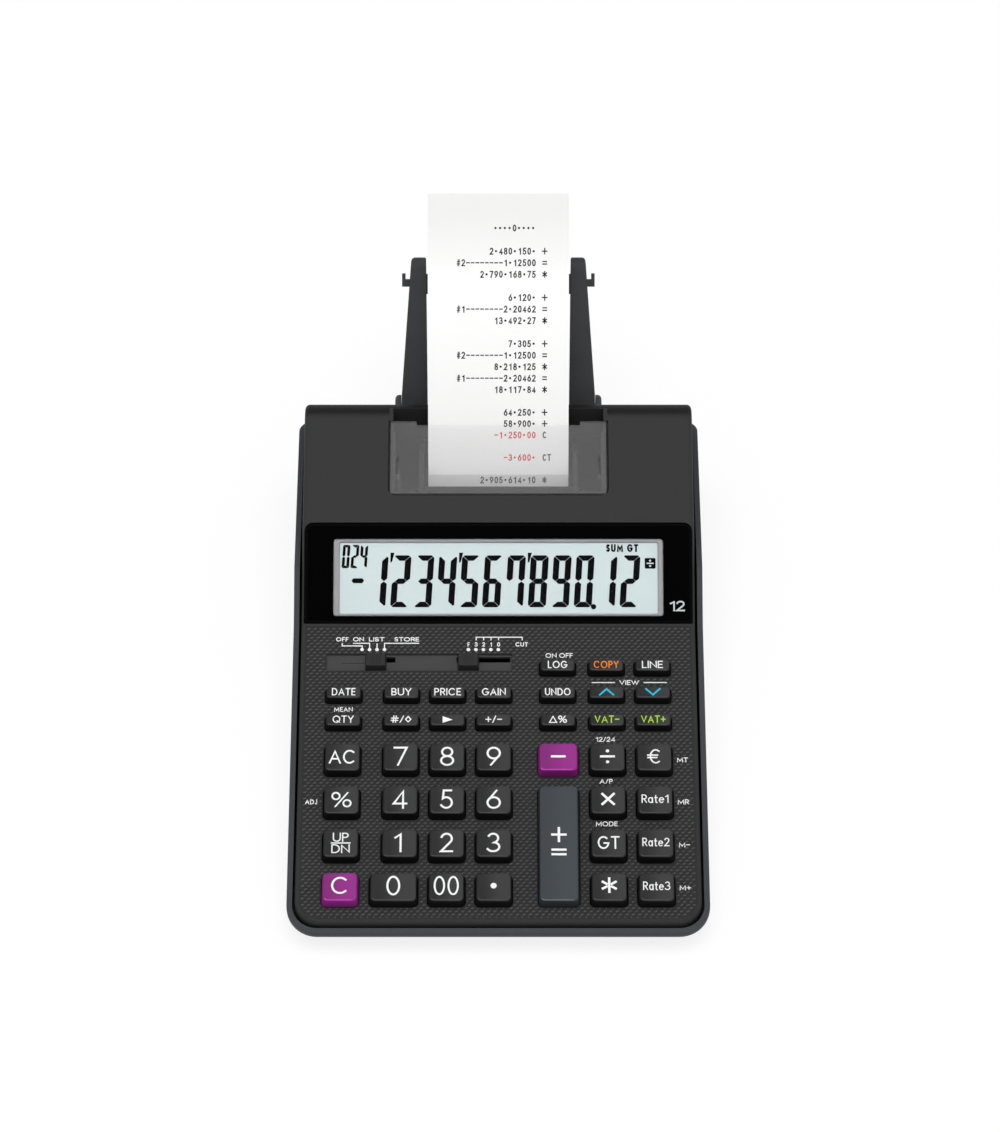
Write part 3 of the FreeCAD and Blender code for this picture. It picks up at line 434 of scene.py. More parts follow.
class Shape:
    def __init__(self):
        self.points, self.faces, self.finishes, self.smooth = [], [], [], []

    def add(self, points, faces, place, finish=0, smooth=False):
        start = len(self.points)
        self.points += [place(point) for point in points]
        self.faces += [[start + index for index in face] for face in faces]
        self.finishes += finish if isinstance(finish, list) else [finish] * len(faces)
        self.smooth += [smooth] * len(faces)

    def loft(self, rings, place, finish=0, smooth=True, loop=False):
        count = len(rings[0])
        points = [point for ring in rings for point in ring]
        faces = []
        for band in range(len(rings) if loop else len(rings) - 1):
            low, high = band * count, (band + 1) % len(rings) * count
            for index in range(count):
                after = (index + 1) % count
                faces.append((low + index, low + after, high + after, high + index))
        if not loop:
            faces.append(range(count - 1, -1, -1))
            faces.append(range(len(points) - count, len(points)))
        self.add(points, faces, place, finish, smooth)

    def stroke(self, line, width, levels, place, finish=0, closed=False, limits=None):
        line = [Vector(point) for point in line]
        count, end = len(line), len(line) - 1
        left, right = [], []
        for index, point in enumerate(line):
            after = line[(index + 1) % count] - point if closed or index < end else None
            before = point - line[index - 1] if closed or index else after
            after = after or before
            first, second = before.normalized(), after.normalized()
            side = Vector((-(first + second).y, (first + second).x)).normalized()
            reach = width / 2 / max(strokeStyle["mitre"], side.dot(Vector((-first.y, first.x))))
            left.append(point + side * reach)
            right.append(point - side * reach)
        if limits:  # sharp corners stay within the height of the line
            for point in left + right:
                point.y = min(max(point.y, limits[0]), limits[1])
        points = [(*point, level) for level in levels for side in (left, right) for point in side]
        lowLeft, lowRight, highLeft, highRight = (count * step for step in range(4))
        bands = ((highRight, highLeft), (lowLeft, lowRight), (lowRight, highRight), (highLeft, lowLeft))
        faces = []
        for index in range(count if closed else end):
            after = (index + 1) % count
            faces += [(a + index, a + after, b + after, b + index) for a, b in bands]
        if not closed:
            faces.append((lowLeft, lowRight, highRight, highLeft))
            faces.append((lowRight + end, lowLeft + end, highLeft + end, highRight + end))
        self.add(points, faces, place, finish)

    def plate(self, outline, levels, place, finish=0):
        rings = [[(*point, level) for point in outline] for level in levels]
        self.loft(rings, place, finish, smooth=False)

    def disc(self, center, radius, levels, place, finish=0):
        ring = roundedRing(center, (radius, radius), radius, 0)
        self.plate([point[:2] for point in ring], levels, place, finish)

    def letter(self, line, weight, levels, place, finish, limits):
        if line[0] == line[-1]:
            self.stroke(line[:-1], weight, levels, place, finish, True, limits)
        else:  # square ends reach half a width past the line
            line = [Vector(point) for point in line]
            line[0] += (line[0] - line[1]).normalized() * weight / 2
            line[-1] += (line[-1] - line[-2]).normalized() * weight / 2
            self.stroke(line, weight, levels, place, finish, False, limits)

    def word(self, text, height, center, levels, place, finish, width, weight):  # no width: the glyphs' own
        wide = [glyphs[letter][0] * height for letter in text]
        gap = height * strokeStyle["gap"][0] + weight * strokeStyle["gap"][1]
        gaps = gap * (len(text) - 1)
        scale = (width - gaps) / sum(wide) if width else 1.0
        left = center[0] - (sum(wide) * scale + gaps) / 2
        low, high = center[1] - height / 2, center[1] + height / 2
        for letter, share in zip(text, wide):
            reach = max(0.0, share * scale - weight)
            start, foot = left + weight / 2, low + weight / 2
            for index, line in enumerate(glyphs[letter][1]):
                moved = [(start + x * reach, foot + y * (height - weight)) for x, y in line]
                raised = (levels[0], levels[1] + strokeStyle["lift"] * index)
                self.letter(moved, weight, raised, place, finish, (low, high))
            left += max(share * scale, weight) + gap

    def piece(self, name, body, materials, slot=None, stands=()):
        mesh = bpy.data.meshes.new(name)
        mesh.from_pydata(self.points, [], self.faces)
        for material in materials:
            mesh.materials.append(material)
        mesh.polygons.foreach_set("material_index", self.finishes)
        mesh.polygons.foreach_set("use_smooth", self.smooth)
        mesh.update()
        made = bpy.data.objects.new(name, mesh)
        scene.collection.objects.link(made)
        if body:
            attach(made, body)
        if stands:
            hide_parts(*stands)
        return made


def roundedRing(center, half, corner, level, steps=5):
    corners = corner if isinstance(corner, tuple) else (corner,) * 4
    ring = []
    for quarter, (sideX, sideY) in enumerate(((1, 1), (-1, 1), (-1, -1), (1, -1))):
        radius = corners[quarter]
        for step in range(steps + 1):
            angle = math.pi / 2 * (quarter + step / steps)
            ring.append((center[0] + sideX * (half[0] - radius) + radius * math.cos(angle),
                         center[1] + sideY * (half[1] - radius) + radius * math.sin(angle), level))
    return ring


def onSlope(place):
    return lambda point: place @ Vector(point)


def arc(x, y, wide, tall, start, end):
    count = max(3, round(abs(end - start) / 20))
    turns = [math.radians(start + (end - start) * step / count) for step in range(count + 1)]
    return [(round(x + wide * math.cos(turn), 6), round(y + tall * math.sin(turn), 6)) for turn in turns]


# Letters as strokes in a unit box, with their width as a share of the height

glyphs = {
    " ": (0.18, []), "I": (0.1, [[(0, 0), (0, 1)]]),
    "0": (0.64, [arc(0.5, 0.5, 0.5, 0.5, 90, 450)]), "1": (0.34, [[(0, 0.78), (1, 1), (1, 0)]]),
    "2": (0.60, [arc(0.5, 0.72, 0.48, 0.28, 160, -30) + [(0, 0), (1, 0)]]),
    "3": (0.62, [arc(0.46, 0.755, 0.44, 0.245, 150, -80) + arc(0.45, 0.26, 0.55, 0.26, 80, -150)]),
    "4": (0.68, [[(0.74, 0), (0.74, 1), (0, 0.25), (1, 0.25)]]),
    "5": (0.58, [[(0.9, 1), (0.2, 1), (0.12, 0.55)] + arc(0.44, 0.31, 0.54, 0.31, 110, -150)]),
    "6": (0.67, [[(0.72, 1), (0.08, 0.46)], arc(0.5, 0.31, 0.5, 0.31, 0, 360)]),
    "7": (0.66, [[(0, 1), (1, 1), (0.3, 0)]]),
    "8": (0.66, [arc(0.5, 0.76, 0.42, 0.24, -90, 270), arc(0.5, 0.26, 0.5, 0.26, 90, 450)]),
    "9": (0.67, [[(0.28, 0), (0.92, 0.54)], arc(0.5, 0.69, 0.5, 0.31, 0, 360)]),
    "A": (0.74, [[(0, 0), (0.5, 1), (1, 0)], [(0.2, 0.34), (0.8, 0.34)]]),
    "B": (0.56, [[(0, 0), (0, 1), (0.5, 1)] + arc(0.5, 0.76, 0.42, 0.24, 80, -90) + [(0.1, 0.52)],
                 [(0, 0.5), (0.5, 0.5)] + arc(0.5, 0.25, 0.5, 0.25, 80, -90) + [(0, 0)]]),
    "C": (0.78, [arc(0.52, 0.5, 0.52, 0.5, 48, 312)]),
    "D": (0.68, [[(0, 0), (0, 1), (0.4, 1)] + arc(0.4, 0.5, 0.6, 0.5, 80, -90) + [(0, 0)]]),
    "E": (0.50, [[(1, 1), (0, 1), (0, 0), (1, 0)], [(0.1, 0.52), (0.86, 0.52)]]),
    "F": (0.48, [[(1, 1), (0, 1), (0, 0)], [(0.1, 0.5), (0.84, 0.5)]]),
    "G": (0.80, [arc(0.5, 0.5, 0.5, 0.5, 48, 340) + [(1, 0.46), (0.58, 0.46)]]),
    "J": (0.44, [[(1, 1), (1, 0.26)] + arc(0.5, 0.26, 0.5, 0.26, -20, -150)]),
    "L": (0.46, [[(0, 1), (0, 0), (1, 0)]]),
    "M": (0.86, [[(0, 0), (0.06, 1), (0.5, 0.2), (0.94, 1), (1, 0)]]),
    "N": (0.68, [[(0, 0), (0, 1), (1, 0), (1, 1)]]), "O": (0.86, [arc(0.5, 0.5, 0.5, 0.5, 90, 450)]),
    "P": (0.54, [[(0, 0), (0, 1), (0.5, 1)] + arc(0.5, 0.74, 0.5, 0.26, 80, -90) + [(0.1, 0.48)]]),
    "Q": (0.86, [arc(0.5, 0.5, 0.5, 0.5, 90, 450), [(0.6, 0.25), (1, -0.04)]]),
    "R": (0.56, [[(0, 0), (0, 1), (0.5, 1)] + arc(0.5, 0.74, 0.48, 0.26, 80, -90) + [(0.1, 0.48)],
                 [(0.45, 0.46), (1, 0)]]),
    "S": (0.54, [arc(0.5, 0.745, 0.46, 0.255, 35, 262) + arc(0.5, 0.25, 0.5, 0.25, 80, -145)]),
    "T": (0.60, [[(0, 1), (1, 1)], [(0.5, 0.95), (0.5, 0)]]),
    "U": (0.66, [[(0, 1), (0, 0.34)] + arc(0.5, 0.34, 0.5, 0.34, 200, 340) + [(1, 0.34), (1, 1)]]),
    "V": (0.70, [[(0, 1), (0.5, 0), (1, 1)]]),
    "W": (1.02, [[(0, 1), (0.26, 0), (0.5, 0.9), (0.74, 0), (1, 1)]]),
    "Y": (0.66, [[(0, 1), (0.5, 0.46), (1, 1)], [(0.5, 0.46), (0.5, 0)]]),
    "a": (0.54, [arc(0.46, 0.33, 0.46, 0.33, 0, 360), [(0.95, 0.66), (0.95, 0)]]),
    "t": (0.34, [[(0.4, 0.94), (0.4, 0.12), (0.6, 0), (1, 0)], [(0, 0.66), (1, 0.66)]]),
    "e": (0.56, [[(0.06, 0.36), (0.98, 0.36)] + arc(0.5, 0.33, 0.5, 0.33, 20, 310)]),
    "%": (0.92, [arc(0.2, 0.76, 0.2, 0.24, 90, 450), arc(0.8, 0.24, 0.2, 0.24, 90, 450),
                 [(0.82, 1), (0.18, 0)]]),
    "€": (0.80, [arc(0.62, 0.5, 0.42, 0.5, 52, 308), [(0, 0.6), (0.76, 0.6)], [(0, 0.41), (0.7, 0.41)]]),
    "#": (0.74, [[(0.26, 0), (0.38, 1)], [(0.62, 0), (0.74, 1)], [(0.06, 0.68), (1, 0.68)],
                 [(0, 0.32), (0.94, 0.32)]]),
    "/": (0.42, [[(0, 0), (1, 1)]]), "+": (0.62, [[(0, 0.5), (1, 0.5)], [(0.5, 0.16), (0.5, 0.84)]]),
    "−": (0.52, [[(0, 0.5), (1, 0.5)]]), "-": (0.46, [[(0, 0.5), (1, 0.5)]]),
    "=": (0.52, [[(0, 0.66), (1, 0.66)], [(0, 0.34), (1, 0.34)]]),
    "*": (0.56, [[(0.5, 0.14), (0.5, 0.86)], [(0.05, 0.32), (0.95, 0.68)], [(0.05, 0.68), (0.95, 0.32)]]),
    "◇": (0.60, [[(0.5, 0.08), (1, 0.5), (0.5, 0.92), (0, 0.5), (0.5, 0.08)]]),
    "Δ": (0.86, [[(0, 0), (1, 0), (0.5, 1), (0, 0)]]),
}


# Signs drawn as strokes about their centre, as shares of their height

signs = {
    "minus": [[(-0.5, 0), (0.5, 0)]],
    "plus": [[(-0.46, 0), (0.46, 0)], [(0, 0.08), (0, 0.5)], [(0, -0.5), (0, -0.08)]],
    "equals": [[(-0.5, 0.17), (0.5, 0.17)], [(-0.5, -0.17), (0.5, -0.17)]],
    "times": [[(-0.48, -0.48), (0.48, 0.48)], [(-0.48, 0.48), (-0.06, 0.06)], [(0.06, -0.06), (0.48, -0.48)]],
    "divide": [[(-0.5, 0), (0.5, 0)], [(0, 0.41)], [(0, -0.41)]],
    "star": [[(0, -0.5), (0, 0.5)]] + [[(0.09 * x, 0.05 * y), (0.43 * x, 0.25 * y)]
                                       for x in (-1, 1) for y in (-1, 1)],
    "up": [[(-0.95, -0.5), (0, 0.42), (0.95, -0.5)]],
    "down": [[(-0.95, 0.5), (0, -0.42), (0.95, 0.5)]],
    "point": [[(0, 0)]],
}
print("mesh tools ready")


# Key caps: tapered, softly edged and slightly dished, with printed legends

keyCaps = {"taper": 0.6, "cadEdgeHighlight": 0.5, "flat": 0.02, "edge": 0.5, "edgeSteps": 4, "crease": 0.05,
           "corner": 1.7, "smallCorner": 1.2, "smallDepth": 8.0, "dish": 0.2, "skirt": 1.2, "flange": 0.8,
           "flangeHeight": 1.0, "panel": 2.5, "wall": 1.0, "hollowCorner": 0.4, "roof": 1.6, "stem": 1.8,
           "stemCorner": 0.2, "stemLift": 0.1, "stemRoot": 0.2, "depth": 13.2, "row": 18.8,
           "inkDepth": (-0.06, 0.04), "rings": (0.97, 0.85, 0.7, 0.5, 0.3, 0.08)}
capBands = {"edge": 8, "lit": 10, "top": 12}  # bands where these begin, counted from the hollow; the sides below edge get the painted shade, and the front bands from lit to top the painted highlight
signWidth = {"up": 0.7, "down": 0.7}
plainSign, dotShare = 0.95, 0.7
keyWords = {
    "key_all_clear": [("AC", 6.2, 0, 0, 10.6, 0.70)], "key_percent": [("%", 6.8, 0, 0, 8.0, 0.68)],
    "key_mark_up": [("UP", 3.9, 0, 2.5, 6.2, 0.48), ("DN", 3.9, 0, -2.5, 7.2, 0.48)],
    "key_clear": [("C", 7.4, 0, 0.6, 6.8, 0.80)], "key_00": [("00", 8.3, 0, 0.5, 9.8, 0.74)],
    "key_currency": [("€", 6.4, 0, 0.2, 5.6, 0.60)], "key_grand_total": [("GT", 5.6, 0, 0.2, 8.6, 0.66)],
}
smallWords = {"key_time": ("DATE", 9.4), "key_cost": ("BUY", 8.0), "key_sell": ("PRICE", 10.6),
              "key_margin": ("GAIN", 9.4), "key_count": ("QTY", 8.4), "key_subtotal": ("#/◇", 8.2),
              "key_sign": ("+/−", 6.6), "key_change": ("Δ%", 7.2), "key_tax_minus": ("VAT−", 9.8),
              "key_tax_plus": ("VAT+", 9.8), "key_correct": ("UNDO", 10.2), "key_print": ("LOG", 7.8),
              "key_reprint": ("COPY", 10.0), "key_feed": ("LINE", 8.4)}
for name, (word, width) in smallWords.items():
    keyWords[name] = [(word, 3.3, 0, 0.15, width, 0.44)]
for rate in "123":
    keyWords["key_rate_" + rate] = [("Rate" + rate, 3.7, 0, 0.4, 10.6, 0.42)]
digitShift = {"0": (0, 0.5), "1": (-0.6, 0.2)}
for digit in "0123456789":
    keyWords["key_" + digit] = [(digit, 8.5, *digitShift.get(digit, (0, 0.2)), None, 0.82)]
keySigns = {
    "key_plus_equals": [("plus", 6.6, 0, 3.7), ("equals", 5.9, 0, -3.9)],
    "key_total": [("star", 6.7, 0, 0.7)],
    "key_multiply": [("times", 5.3, 0, 0.3)], "key_divide": [("divide", 5.9, 0, 0.2)],
    "key_minus": [("minus", 5.8, 0, 0.2)], "key_point": [("point", 2.4, 0, 0.5)],
    "key_step_up": [("up", 3.1, 0, 0.1)], "key_step_down": [("down", 3.1, 0, 0.1)],
}
keyPlates = {"key_back_step": [(-1.9, -1.5), (2.1, 0), (-1.9, 1.5)]}
keyBars = {"key_mark_up": (3.9, 0.5)}  # half length and width
keyInk = {"key_reprint": "orange", "key_step_up": "cyan", "key_step_down": "cyan", "key_tax_minus": "lime",
          "key_tax_plus": "lime"}
keyTone = {"key_clear": "purple", "key_minus": "purple", "key_plus_equals": "slate"}


def drawSign(shape, sign, size, center, levels, place, finish):
    width = signWidth.get(sign, plainSign)
    for line in signs[sign]:
        moved = [(center[0] + x * size, center[1] + y * size) for x, y in line]
        if len(moved) == 1:
            shape.disc(moved[0], size / 2 if sign == "point" else width * dotShare, levels, place, finish)
        else:
            shape.stroke(moved, width, levels, place, finish)


def capRings(center, half, top, corner):
    edge, spread = keyCaps["edge"], keyCaps["taper"]

    def ringAt(level, inset, radius):
        return roundedRing(center, (half[0] + spread - inset, half[1] + spread - inset), radius, level)

    under, lip = -keyCaps["panel"], keyCaps["flange"]
    bottom, hollow = under - keyCaps["flangeHeight"], (keyCaps["wall"], keyCaps["hollowCorner"])
    rings = [ringAt(top - keyCaps["roof"], *hollow), ringAt(bottom, *hollow),
             ringAt(bottom, -lip, corner + lip), ringAt(under, -lip, corner + lip),
             ringAt(under, 0, corner), ringAt(-keyCaps["skirt"], 0, corner)]
    for level in (0, top - edge - keyCaps["crease"], top - edge):
        rings.append(ringAt(level, spread * level / top, corner))
    for step in range(1, keyCaps["edgeSteps"] + 1):
        angle = math.pi / 2 * step / keyCaps["edgeSteps"]
        rise, inward = edge * math.sin(angle), edge * (1 - math.cos(angle))
        inset = spread * (top - edge + rise) / top + inward
        rings.append(ringAt(top - edge + rise, inset, corner - 0.5 * inward))
    outer = (half[0] - edge, half[1] - edge)
    for share in keyCaps["rings"]:
        flat = roundedRing(center, (outer[0] * share, outer[1] * share), (corner - 0.5 * edge) * share, 0)
        rings.append([(x, y, top - dishAt(x - center[0], y - center[1], outer)) for x, y, level in flat])
    return rings


def dishAt(x, y, outer):  # how far the finger rest is sunk at a place on the cap
    across, along = min(1, abs(x / outer[0])), min(1, abs(y / outer[1]))
    return keyCaps["dish"] * (1 - across ** 2) * (1 - along ** 2)


def keyStems(shape, center, reach, top):  # posts that press the contact mat
    count = max(1, round((2 * reach - keyCaps["depth"]) / keyCaps["row"]) + 1)
    half, corner = (keyCaps["stem"] / 2,) * 2, keyCaps["stemCorner"]
    levels = (keyCaps["stemLift"] - keyCaps["panel"] - keyCaps["flangeHeight"],
              top - keyCaps["roof"] + keyCaps["stemRoot"])
    for index in range(count):
        middle = (center[0], center[1] + reach * ((2 * index + 1) / count - 1))
        rings = [roundedRing(middle, half, corner, level, 2) for level in levels]
        shape.loft(rings, onSlope(field), 1, smooth=False)


def keyCap(name):
    top = localBox(name, field)[1].z
    low, high = localBox(name, field, top - keyCaps["flat"])  # the flat top of the node
    center = ((low.x + high.x) / 2, (low.y + high.y) / 2)
    half = ((high.x - low.x) / 2 + keyCaps["cadEdgeHighlight"], (high.y - low.y) / 2 + keyCaps["cadEdgeHighlight"])
    small = high.y - low.y < keyCaps["smallDepth"]
    shape = Shape()
    rings = capRings(center, half, top, keyCaps["smallCorner" if small else "corner"])
    count = len(rings[0])
    front = range(2 * count // 3 - 2, 2 * count // 3 + 2)  # front edge and its left corner, where the highlight is painted
    looks = []
    for band in range(len(rings) - 1):
        for index in range(count):
            lit = capBands["lit"] <= band < capBands["top"] and index in front
            looks.append(1 if band < capBands["edge"] else 2 if lit else 0)
    shape.loft(rings, onSlope(field), looks + [1, 0])
    keyStems(shape, center, half[1] + keyCaps["taper"], top)
    outer = (half[0] - keyCaps["edge"], half[1] - keyCaps["edge"])

    def printed(point):  # ink follows the dish
        sunk = dishAt(point[0] - center[0], point[1] - center[1], outer)
        return field @ Vector((point[0], point[1], point[2] + top - sunk))

    (x, y), ink = center, keyCaps["inkDepth"]
    for text, height, offX, offY, width, weight in keyWords.get(name, []):
        shape.word(text, height, (x + offX, y + offY), ink, printed, 3, width, weight)
    for sign, size, offX, offY in keySigns.get(name, []):
        drawSign(shape, sign, size, (x + offX, y + offY), ink, printed, 3)
    if name in keyPlates:
        shape.plate([(x + offX, y + offY) for offX, offY in keyPlates[name]], ink, printed, 3)
    if name in keyBars:
        reach, width = keyBars[name]
        shape.stroke([(x - reach, y), (x + reach, y)], width, ink, printed, 3)
    tone = keyTone.get(name, "charcoal")
    materials = keyFinishes[tone] + [inks[keyInk.get(name, "white")]]
    cap = shape.piece(name + "_cap", name, materials, "key_" + tone, [name])
    # share across the cap from left to right, which steers the painted light on the top
    sides = [(vertex.co.x / mm - x) / half[0] for vertex in cap.data.vertices]
    cap.data.attributes.new("capSide", "FLOAT", "POINT").data.foreach_set("value", sides)


keyNames = sorted(name for name in nodes if name.startswith("key_"))
for keyName in keyNames:
    keyCap(keyName)
print("key caps:", len(keyNames))


# Words and marks printed on the key panel

panelPrint = {"levels": (-0.03, 0.17), "height": 2.15, "switchHeight": 1.95, "weight": 0.34, "line": 0.42,
              "dot": 0.72, "dotRow": 121.2, "dotStep": 3.0, "dots": ((-54.7, 4), (-12.0, 5))}
panelWords = [("12/24", 42.6, 80.4, 7.7), ("A/P", 42.6, 61.6, 5.2), ("MODE", 42.6, 42.8, 8.6),
              ("MEAN", -61.7, 93.9, 7.4), ("MT", 72.9, 71.2, 4.3), ("MR", 72.9, 52.5, 4.5),
              ("M−", 72.9, 33.6, 4.3), ("M+", 72.9, 14.9, 4.5), ("ADJ", -73.7, 52.5, 4.8),
              ("ON OFF", 24.4, 118.5, 11.0), ("VIEW", 52.3, 106.1, 7.8)]
switchWords = [("OFF", -62.7, 125.95, 5.0), ("ON", -56.2, 125.95, 4.4), ("LIST", -48.9, 125.95, 6.2),
               ("STORE", -36.8, 125.95, 10.0), ("F", -11.9, 123.6, None), ("3", -8.9, 123.6, None),
               ("2", -5.9, 123.6, None), ("1", -2.9, 123.6, None), ("0", 0.1, 123.6, None),
               ("CUT", 9.4, 123.6, 5.0)]
panelLines = [[(37.3, 106.1), (46.6, 106.1)], [(58.1, 106.1), (67.4, 106.1)],
              [(-62.7, 124.2), (-62.7, 122.9), (-54.7, 122.9), (-54.7, 121.9)],
              [(-58.4, 124.1), (-51.7, 124.1), (-51.7, 121.9)], [(-48.7, 124.0), (-48.7, 121.9)],
              [(-45.7, 121.9), (-45.7, 124.1), (-31.8, 124.1)],
              [(-8.9, 125.5), (-8.9, 126.9), (9.6, 126.9), (9.6, 125.5)], [(-5.9, 125.5), (-5.9, 126.6)],
              [(-2.9, 125.5), (-2.9, 126.6)], [(0.1, 125.5), (0.1, 126.6)]]


def panelMarks():
    shape = Shape()
    place, levels = onSlope(field), panelPrint["levels"]
    for words, height in ((panelWords, panelPrint["height"]), (switchWords, panelPrint["switchHeight"])):
        for text, x, y, width in words:
            shape.word(text, height, (x, y), levels, place, 0, width, panelPrint["weight"])
    for start, count in panelPrint["dots"]:
        for step in range(count):
            spot = (start + panelPrint["dotStep"] * step, panelPrint["dotRow"])
            shape.disc(spot, panelPrint["dot"], levels, place)
    for line in panelLines:
        shape.stroke(line, panelPrint["line"], levels, place)
    shape.piece("panel_print", "body", [inks["white"]])


shutterStyle = {"reach": 13.75, "root": 4.0, "front": 0.0, "rear": 3.3, "levels": (-0.84, -0.7)}


def powerShutter():  # thin slide on the power knob that covers the free end of its slot
    style = shutterStyle
    low, high = localBox("power_switch", field, 0.0)
    x, y = (low.x + high.x) / 2, (low.y + high.y) / 2
    left, right, front, rear = x - style["reach"], x - style["root"], y + style["front"], y + style["rear"]
    shape = Shape()
    shape.plate([(left, front), (right, front), (right, rear), (left, rear)], style["levels"], onSlope(field))
    shape.piece("power_shutter", "power_switch", [coverFinish], "cover_plastic")


panelMarks()
powerShutter()
print("panel ready")


# Display: black gloss lens with a rim, clear window, silver module and liquid crystal digits

lensStyle = {"rim": 1.1, "fall": 0.35, "window": (66.85, 3.75, 35.9), "clear": 0.8, "corner": 1.4,
             "upper": 3.4, "lower": 0.8, "inner": 0.4, "gap": 0.05, "ink": 0.03}
lensWord = ("12", 4.3, (72.2, 7.9), 6.0, 0.64)


def displayLens():
    style = lensStyle
    low, high = localBox("display_lens", display)
    center, half = (0.0, (low.y + high.y) / 2), (high.x, (high.y - low.y) / 2)
    wide, front, rear = style["window"]
    middle, window = (0.0, (front + rear) / 2), (wide, (rear - front) / 2)
    upper, lower, rim, top = style["upper"], style["lower"], style["rim"], high.z
    corners = (upper, upper, lower, lower)
    inner = (upper - rim, upper - rim, style["inner"], style["inner"])
    rings = [roundedRing(center, half, corners, low.z),
             roundedRing(center, half, corners, top - style["fall"]),
             roundedRing(center, (half[0] - rim, half[1] - rim), inner, top),
             roundedRing(middle, window, style["corner"], top),
             roundedRing(middle, window, style["corner"], low.z)]
    count = len(rings[0])
    shape = Shape()
    shape.loft(rings, onSlope(display), [1] * count * 2 + [0] * count * 3, smooth=False, loop=True)
    text, height, spot, width, weight = lensWord
    levels = (top - style["ink"], top + style["ink"])
    shape.word(text, height, spot, levels, onSlope(display), 2, width, weight)
    looks = [plastics["lensPlastic"], plastics["rimPlastic"], inks["pale"]]
    shape.piece("lens_frame", "body", looks, "lens_plastic", ["display_lens"])
    pane, gap = Shape(), style["gap"]
    pane.loft([roundedRing(middle, (window[0] - gap, window[1] - gap), style["corner"], level)
               for level in (top - style["clear"], top - gap)], onSlope(display), smooth=False)
    pane.piece("lens_window", "body", [windowFinish], "lens_plastic")


segmentStyle = {"bar": 0.9, "clip": 0.42, "tip": 0.4, "gap": 0.08, "slant": 0.062}
digitCell = {"text": "123456789012", "right": 56.2, "base": 7.8, "width": 7.3, "height": 21.4, "stroke": 2.5,
             "pitch": 9.26}
counterCell = {"text": "024", "right": -53.2, "base": 23.9, "width": 3.0, "height": 9.6, "stroke": 1.15,
               "pitch": 3.6}
segmentOf = {"0": "abcdef", "1": "bc", "2": "abged", "3": "abgcd", "4": "fgbc", "5": "afgcd", "6": "afgedc",
             "7": "fabc", "8": "abcdefg", "9": "abfgcd"}


def segmentOutlines(width, height, stroke, gap):  # mitred bars with hairline gaps and clipped corners
    middle, half = height / 2, stroke / 2
    bar, clip, tip = (stroke * segmentStyle[name] for name in ("bar", "clip", "tip"))
    share = (clip - gap) / (stroke + bar)
    left, right = stroke + gap, width - stroke - gap
    upright = [(0, middle + gap + tip), (half, middle + gap), (stroke, middle + gap + tip),
               (stroke, height - bar - gap), (share * stroke, height - gap - share * bar), (0, height - clip)]
    flatTop = [(clip, height), (gap + share * stroke, height - share * bar), (left, height - bar),
               (right, height - bar), (width - gap - share * stroke, height - share * bar),
               (width - clip, height)]
    across = [(half + gap, middle), (left, middle - bar / 2), (right, middle - bar / 2),
              (width - half - gap, middle), (right, middle + bar / 2), (left, middle + bar / 2)]

    def turned(outline, flipX, flipY):
        moved = [(width - x if flipX else x, height - y if flipY else y) for x, y in outline]
        return moved if flipX == flipY else moved[::-1]

    return {"f": upright[::-1], "b": turned(upright, True, False)[::-1],
            "e": turned(upright, False, True)[::-1], "c": turned(upright, True, True)[::-1],
            "a": flatTop, "d": turned(flatTop, False, True), "g": across}


def digitMarks(shape, cell, levels, place):
    width, height = cell["width"], cell["height"]
    gap = segmentStyle["gap"] * height / digitCell["height"]
    outlines = segmentOutlines(width, height, cell["stroke"], gap)
    for index, digit in enumerate(reversed(cell["text"])):
        left = cell["right"] - width - cell["pitch"] * index
        for segment in segmentOf[digit]:
            moved = [(left + x + y * segmentStyle["slant"], cell["base"] + y) for x, y in outlines[segment]]
            area = sum(a[0] * b[1] - b[0] * a[1] for a, b in zip(moved, moved[1:] + moved[:1]))
            shape.plate(moved if area > 0 else moved[::-1], levels, place)


moduleStyle = {"half": (66.65, 15.95), "middle": 19.95, "rise": 1.3, "ledge": 0.5, "pocket": -0.3,
               "flange": 1.2, "backCorner": 0.6, "corner": 1.2, "bevel": 0.25, "bevelCorner": 1.0,
               "paneCorner": 0.7, "borders": (2.6, 2.3, 1.5, 1.1), "grow": (0.5, 0.08, 0.0), "growUp": 0.6}


def displayModule():
    style = moduleStyle
    low, high = localBox("lcd_module", display)
    center = (0.0, (low.y + high.y) / 2)
    back = ((high.x - low.x) / 2, (high.y - low.y) / 2)
    rise, half, face = (0.0, style["middle"]), style["half"], high.z + style["rise"]
    step, bevel, pane = high.z - style["flange"], style["bevel"], high.z - style["pocket"]
    sizes = [(center, back, style["backCorner"], low.z), (center, back, style["backCorner"], step),
             (rise, half, style["corner"], step), (rise, half, style["corner"], face - bevel),
             (rise, (half[0] - bevel, half[1] - bevel), style["bevelCorner"], face)]
    left, right, upper, lower = style["borders"]
    inner = (half[0] - (left + right) / 2, half[1] - (upper + lower) / 2)
    middle = ((left - right) / 2, rise[1] + (lower - upper) / 2)
    sizes += [(middle, (inner[0] + grow, inner[1] + grow * style["growUp"]), style["paneCorner"], level)
              for grow, level in zip(style["grow"], (face, face - style["ledge"], pane))]
    rings = [roundedRing(*size) for size in sizes]
    count = len(rings[0])
    shape = Shape()
    shape.loft(rings, onSlope(display), [0] * count * (len(rings) - 1) + [0, 1], smooth=False)
    looks = [plastics["moduleSilver"], plastics["paneGlass"]]
    shape.piece("lcd_frame", "body", looks, "lcd_panel", ["lcd_module"])
    return pane


